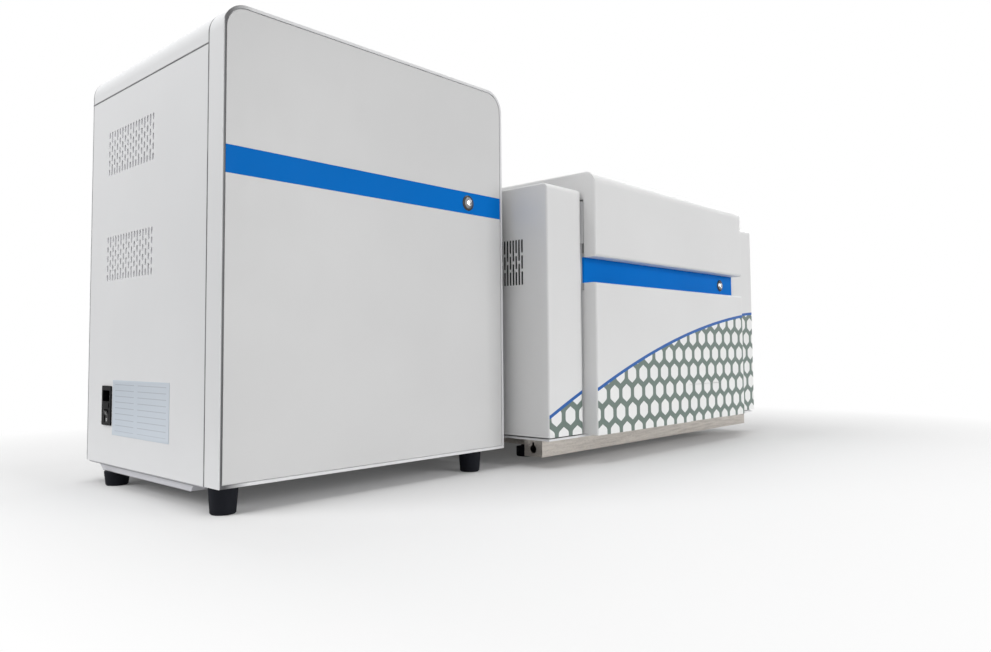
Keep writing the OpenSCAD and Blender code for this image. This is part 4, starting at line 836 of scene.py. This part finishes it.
def copy_to(piece, offset):
    """A copy with its own mesh, moved by an offset"""
    twin = piece.copy()
    twin.data = piece.data.copy()
    twin.data.transform(Matrix.Translation(offset))
    bpy.context.scene.collection.objects.link(twin)
    return twin


def copies_at(first, places):
    """A piece modelled at the first of several places, with a copy at each of the others"""
    return [first] + [copy_to(first, place - places[0]) for place in places[1:]]


def make_side_plate():
    """The bare rating plate on the tower's left side, with a raised rim"""
    low = on_tower(-0.4, 131.0, 44.0)
    high = on_tower(0.0, 313.0, 124.0)
    plate = add_block("tower_side_plate", low, high)
    pick_faces(plate, facing((-1, 0, 0)))
    bpy.ops.mesh.inset(thickness=2.5 * MM, depth=0.0)
    bpy.ops.mesh.inset(thickness=0.5 * MM, depth=-0.15 * MM)
    leave_edit()
    soften(plate, 0.1 * MM, 1)
    give(plate, plate_paint)


# The lower corners of the mats behind the tower's vents, and their size
TOWER_MATS = (on_tower(2.03, 184.0, 265.0), on_tower(2.03, 184.0, 425.0))
TOWER_MAT_SIZE = Vector((2.47, 170.0, 79.0)) * MM
# The same for the mats in the analyser's two columns
COLUMN_MATS = {"left": on_analyser(1.4, 49.5, 248.5), "right": on_analyser(772.4, 49.5, 248.5)}
COLUMN_MAT_SIZE = Vector((2.2, 121.5, 87.0)) * MM


def make_vent_mats():
    """Filter mats behind the slots of the tower and of the analyser's sides"""
    mat = add_block("mat", TOWER_MATS[0], TOWER_MATS[0] + TOWER_MAT_SIZE)
    pick_faces(mat, facing((1, 0, 0)))
    bpy.ops.mesh.inset(thickness=6.0 * MM, depth=-0.8 * MM)
    leave_edit()
    soften(mat, 0.6 * MM)
    give(join_pieces("tower_vent_mats", copies_at(mat, TOWER_MATS)), pale_foam)
    for side, low in COLUMN_MATS.items():
        mat = add_block(side + "_vent_mat", low, low + COLUMN_MAT_SIZE)
        pick_faces(mat, lambda centre, normal: abs(normal.x) > 0.9)
        bpy.ops.mesh.inset(thickness=4.0 * MM, depth=-0.4 * MM)
        leave_edit()
        soften(mat, 0.3 * MM)
        give(mat, dark_foam)


SCREW_SIDES = 24


def make_screw(middle, radius, rise, aim):
    """A button-head screw with a hexagon socket, whose head stands out along an axis"""
    axis = max("xyz", key=lambda letter: abs(getattr(aim, letter)))
    screw = add_disc("screw", middle + aim * rise / 2, radius, rise, axis, SCREW_SIDES)
    pick_faces(screw, lambda centre, normal: normal.dot(aim) > 0.9)
    bpy.ops.mesh.inset(thickness=radius * 0.42, depth=0.0)
    bpy.ops.mesh.extrude_region_move(TRANSFORM_OT_translate={"value": -aim * rise * 0.6})
    leave_edit()
    socket = radius * 0.5
    for vertex in screw.data.vertices:
        out = vertex.co - middle
        flat = out - aim * out.dot(aim)
        if flat.length < radius * 0.7:
            side_a = aim.orthogonal().normalized()
            turn = math.atan2(flat.dot(aim.cross(side_a)), flat.dot(side_a))
            from_side = (turn + math.pi / 6) % (math.pi / 3) - math.pi / 6
            vertex.co += flat.normalized() * (socket / math.cos(from_side) - flat.length)
    soften(screw, rise * 0.28, 2, 50)
    return screw


def screw_set(name, places, head, aim, finish=stainless):
    """Copies of one screw at several places, as one piece; head is its radius and its rise"""
    aim = Vector(aim)
    first = make_screw(places[0], head[0] * MM, head[1] * MM, aim)
    give(join_pieces(name, copies_at(first, places)), finish)


# Screws, in millimetres from a cabinet's corner. Each head is a radius and a rise, and each set
# is a middle and how far its screws stand from it, across and up. The rear panels' screws are
# at each pair of a place across and one up, and the hinge leaves' lie on top, side by side
PANEL_HEAD = (3.6, 2.0)
TOWER_REAR = ((20, 492), (22, 210, 395, 560))
ANALYSER_REAR = ((14, 388, 762), (14, 210, 404))
FAN_HEAD = (3.4, 1.8)
FAN_SPREAD = (41.25, 41.25)
TOWER_FANS = {"tower_left_fan": (166.5, 408.0, 440.0), "tower_right_fan": (346.5, 408.0, 440.0)}
ANALYSER_FAN = (200.5, 600.0, 130.0)
FIBRE_HEAD = (2.6, 1.5)
FIBRE_PORT = (392.0, 411.3, 130.0)
FIBRE_SPREAD = (36.0, 14.0)
FLUID_HEAD = (2.2, 1.4)
FLUID_PORTS = (558.7, 602.1, 120.0)
FLUID_SPREAD = (55.0, 10.0)
HINGE_HEAD = (3.0, 1.6)
HINGE_LEAVES = ((191.7, 574.0, 424.0), (578.3, 574.0, 424.0))
HINGE_SPREAD = 19.0


def around(place, middle, spread_mm):
    """Four places round a middle, from a function that turns millimetres into a place"""
    return [place(middle[0] + x, middle[1], middle[2] + z)
            for x in (-spread_mm[0], spread_mm[0]) for z in (-spread_mm[1], spread_mm[1])]


def make_screws():
    """Screws that hold the rear panels, the fans, the ports and the hinge leaves"""
    back = (0, 1, 0)
    rear = (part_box("tower_rear_panel")[1].y - TOWER.y) / MM
    places = [on_tower(x, rear, z) for x in TOWER_REAR[0] for z in TOWER_REAR[1]]
    screw_set("tower_rear_screws", places, PANEL_HEAD, back)
    rear = (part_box("rear_cover")[1].y - ANALYSER.y) / MM
    places = [on_analyser(x, rear, z) for x in ANALYSER_REAR[0] for z in ANALYSER_REAR[1]]
    screw_set("analyser_rear_screws", places, PANEL_HEAD, back)
    for name, middle in TOWER_FANS.items():
        places = around(on_tower, middle, FAN_SPREAD)
        screw_set(name + "_screws", places, FAN_HEAD, back, black_plastic)
    places = around(on_analyser, ANALYSER_FAN, FAN_SPREAD)
    screw_set("analyser_fan_screws", places, FAN_HEAD, back, black_plastic)
    places = around(on_tower, FIBRE_PORT, FIBRE_SPREAD)
    screw_set("fibre_port_screws", places, FIBRE_HEAD, back)
    places = around(on_analyser, FLUID_PORTS, FLUID_SPREAD)
    screw_set("fluid_port_screws", places, FLUID_HEAD, back)
    places = [on_analyser(x + shift, y, z) for x, y, z in HINGE_LEAVES
              for shift in (-HINGE_SPREAD, HINGE_SPREAD)]
    screw_set("hinge_screws", places, HINGE_HEAD, (0, 0, 1))


# What stands on the optical bench, in millimetres from the analyser's corner
LASER_X = [144.5 + 46.0 * index for index in range(5)]
BEAM_Z = 299.3
MIRROR_Y = 308.6
POST_Y = 310.0
WINDOW_Y = 349.8
LENS_Y = 311.7
BOX_X = [435.5 + 86.0 * index for index in range(3)]
# Middles of the filter caps' dots: across from their box's middle, then along from the corner
CAP_X = (-17.0, 17.0)
CAP_Y = [370.4 + 42.0 * index for index in range(4)]
DOT_Z = 331.45


def small_discs(name, places, radius, depth, axis, finish, rim=0.2):
    """Discs with a stepped rim at several places, as one piece; sizes are in millimetres"""
    radius = radius * MM
    depth = depth * MM
    first = add_disc(name, places[0], radius, depth, axis, 24)
    pick_faces(first, lambda centre, normal: abs(getattr(normal, axis)) > 0.9)
    bpy.ops.mesh.inset(thickness=radius * rim, depth=0.0)
    bpy.ops.mesh.inset(thickness=radius * 0.06, depth=-depth * 0.15)
    leave_edit()
    soften(first, depth * 0.12, 2)
    piece = join_pieces(name, copies_at(first, places))
    give(piece, finish)
    return piece


def make_optics_details():
    """Mirrors, laser windows, coupling lenses and coloured dots on the optical bench"""
    places = [on_analyser(x, MIRROR_Y, BEAM_Z) for x in LASER_X]
    mirrors = small_discs("beam_mirrors", places, 7.4, 2.4, "y", chrome, 0.06)
    # each mirror turns about its post, to fold its beam sideways
    each = len(mirrors.data.vertices) // len(places)
    turn = Matrix.Rotation(math.radians(45), 3, "Z")
    for index, vertex in enumerate(mirrors.data.vertices):
        post = on_analyser(LASER_X[index // each], POST_Y, BEAM_Z)
        vertex.co = post + turn @ (vertex.co - post)
    places = [on_analyser(x, WINDOW_Y, BEAM_Z) for x in LASER_X]
    small_discs("laser_windows", places, 4.6, 0.8, "y", coloured_glass)
    places = [on_analyser(x, LENS_Y, BEAM_Z) for x in BOX_X]
    small_discs("coupling_lenses", places, 5.4, 0.8, "y", coloured_glass)
    places = [on_analyser(x + across, y, DOT_Z) for x in BOX_X for across in CAP_X for y in CAP_Y]
    small_discs("filter_dots", places, 2.6, 0.5, "z", coloured_glass)


def make_hood_seal():
    """The soft strip on the bulkhead's top edge, which the hood closes over"""
    low = on_analyser(112.0, 3.6, 327.5)
    high = on_analyser(658.0, 8.6, 331.2)
    seal = add_block("hood_seal", low, high)
    pick_faces(seal, facing((0, 0, 1)))
    bpy.ops.mesh.inset(thickness=1.3 * MM, depth=0.0)
    bpy.ops.mesh.extrude_region_move(TRANSFORM_OT_translate={"value": (0, 0, 1.6 * MM)})
    leave_edit()
    soften(seal, 0.8 * MM, 3)
    give(seal, rubber)


# The mains inlets' middles across, their lower edges and the contact blades in their sockets,
# in millimetres: places across and up, half sizes, and how deep they reach behind the panel
TOWER_INLET = (332.0, 57.0)
ANALYSER_INLET = (723.0, 50.0)
ANALYSER_BACK = 600.0
BLADES = ((-7.0, 41.0), (7.0, 41.0), (0.0, 45.0))
BLADE_HALF = (1.0, 2.4)
BLADE_DEPTH = (6.0, 14.0)


def make_blade(low, high, tip):
    """One contact blade with a narrowed tip"""
    blade = add_block("blade", low, high)
    pick_faces(blade, facing(tip))
    bpy.ops.mesh.inset(thickness=0.4 * MM, depth=0.6 * MM)
    leave_edit()
    soften(blade, 0.2 * MM)
    return blade


def make_inlet_pins():
    """Three contact blades in each mains inlet's socket"""
    near, far = BLADE_DEPTH
    half_w, half_h = BLADE_HALF
    across, up = TOWER_INLET
    places = [on_tower(near, across - x, up + z) for x, z in BLADES]
    reach = Vector((far - near, half_w, half_h)) * MM
    blade = make_blade(places[0] - Vector((0, half_w, half_h)) * MM, places[0] + reach, (-1, 0, 0))
    give(join_pieces("tower_inlet_pins", copies_at(blade, places)), bare_alloy)
    across, up = ANALYSER_INLET
    places = [on_analyser(across - x, ANALYSER_BACK - near, up + z) for x, z in BLADES]
    reach = Vector((half_w, far - near, half_h)) * MM
    blade = make_blade(places[0] - reach, places[0] + Vector((half_w, 0, half_h)) * MM, (0, 1, 0))
    give(join_pieces("analyser_inlet_pins", copies_at(blade, places)), bare_alloy)


make_side_plate()
make_vent_mats()
make_screws()
make_optics_details()
make_hood_seal()
make_inlet_pins()

# ---- Floor, world and lamps ----


FLOOR_LIGHT = (0.78, 0.78, 0.78, 1)
FLOOR_DEEP = (0.77, 0.77, 0.77, 1)
# Where the floor starts to fade into the background and where it ends, in metres from the instrument;
# to the left that happens sooner. The grey left near the instrument is partly the lamps' shadow and
# partly painted shade set by this distance
FLOOR_FADE = (0.1, 0.75)
LEFT_FADE_SPEED = 2.6
FLOOR_GLOW = 0.06
FILL_LIGHT = 0.2


def make_floor():
    """A wide pale floor that keeps the lamps' soft shadow under the instrument, and glows whiter with
    distance from it, so that painted shade also rings the instrument
    """
    start_fresh()
    bpy.ops.mesh.primitive_plane_add(size=60, location=(0, 0, 0))
    floor = bpy.context.object
    floor.name = "floor"
    finish, tree, shader = start_finish("floor")
    away_x, away_y, _ = split(tree, object_place(tree))
    past_left = calc(tree, "SUBTRACT", calc(tree, "MULTIPLY", away_x, -1.0), cad_box[1][0])
    past_left = calc(tree, "MULTIPLY", calc(tree, "MAXIMUM", past_left, 0.0), LEFT_FADE_SPEED)
    past_right = calc(tree, "MAXIMUM", calc(tree, "SUBTRACT", away_x, cad_box[1][0]), 0.0)
    beside = calc(tree, "ADD", past_left, past_right)
    ahead = calc(tree, "SUBTRACT", calc(tree, "ABSOLUTE", away_y), cad_box[1][1])
    away = radius_of(tree, beside, calc(tree, "MAXIMUM", ahead, 0.0))
    fade = spread(tree, away, *FLOOR_FADE, 0.0, 1.0)
    tint = spread(tree, noise(tree, object_place(tree), 2.0), 0.3, 0.7, 0.0, 1.0)
    near = blend_colours(tree, tint, FLOOR_DEEP, FLOOR_LIGHT)
    plug(tree, blend_colours(tree, fade, near, (0, 0, 0, 1)), shader.inputs["Base Color"])
    shader.inputs["Roughness"].default_value = 0.8
    shader.inputs["Specular IOR Level"].default_value = 0.0
    path = tree.nodes.new("ShaderNodeLightPath")
    seen = calc(tree, "MAXIMUM", path.outputs["Is Camera Ray"], path.outputs["Is Glossy Ray"])
    shader.inputs["Emission Color"].default_value = (1, 1, 1, 1)
    # The glow rises with distance from the instrument, which leaves painted shade close to it
    shown = spread(tree, fade, 0.0, 1.0, FLOOR_GLOW, 1.0)
    lit = calc(tree, "MULTIPLY", fade, FILL_LIGHT)
    plug(tree, spread(tree, seen, 0.0, 1.0, lit, shown), shader.inputs["Emission Strength"])
    floor.data.materials.append(finish)


def light_world():
    """White as a background, and an even soft fill on everything else"""
    world = bpy.data.worlds.new("studio")
    bpy.context.scene.world = world
    world.use_nodes = True
    tree = world.node_tree
    back = tree.nodes["Background"]
    back.inputs["Color"].default_value = (1, 1, 1, 1)
    path = tree.nodes.new("ShaderNodeLightPath")
    seen = calc(tree, "MAXIMUM", path.outputs["Is Camera Ray"], path.outputs["Is Glossy Ray"])
    seen = calc(tree, "MAXIMUM", seen, path.outputs["Is Transmission Ray"])
    plug(tree, spread(tree, seen, 0.0, 1.0, FILL_LIGHT, 1.0), back.inputs["Strength"])


def hang_lamp(name, place, aim, size, power):
    """A rectangular softbox that looks at a point"""
    lamp = bpy.data.lights.new(name, "AREA")
    lamp.shape = "RECTANGLE"
    lamp.size = size[0]
    lamp.size_y = size[1]
    lamp.energy = power
    hung = bpy.data.objects.new(name, lamp)
    bpy.context.scene.collection.objects.link(hung)
    hung.location = place
    hung.rotation_euler = (Vector(aim) - Vector(place)).to_track_quat("-Z", "Y").to_euler()


# Each softbox's place, the point it looks at, its width and height in metres, and its power
SOFTBOXES = {
    "softbox_top": ((0.1, 0.2, 3.0), (0.0, 0.0, 0.3), (3.2, 2.6), 37),
    "softbox_left": ((-3.4, 1.0, 2.2), (-0.6, 0.1, 0.6), (2.0, 2.0), 74),
    "softbox_upper_left": ((-1.5, -0.6, 2.6), (0.0, 0.0, 0.4), (1.0, 1.0), 12),
    "softbox_front": ((0.9, -3.5, 1.0), (0.0, 0.0, 0.3), (2.6, 2.2), 69),
    "softbox_low_left": ((-3.0, -2.8, 0.8), (-0.2, -0.2, 0.3), (1.6, 1.2), 4),
    "softbox_right": ((3.6, 0.6, 1.6), (0.5, 0.0, 0.3), (2.0, 1.6), 34),
}

make_floor()
light_world()
for lamp_name, settings in SOFTBOXES.items():
    hang_lamp(lamp_name, *settings)
bpy.context.scene.view_settings.view_transform = "Standard"
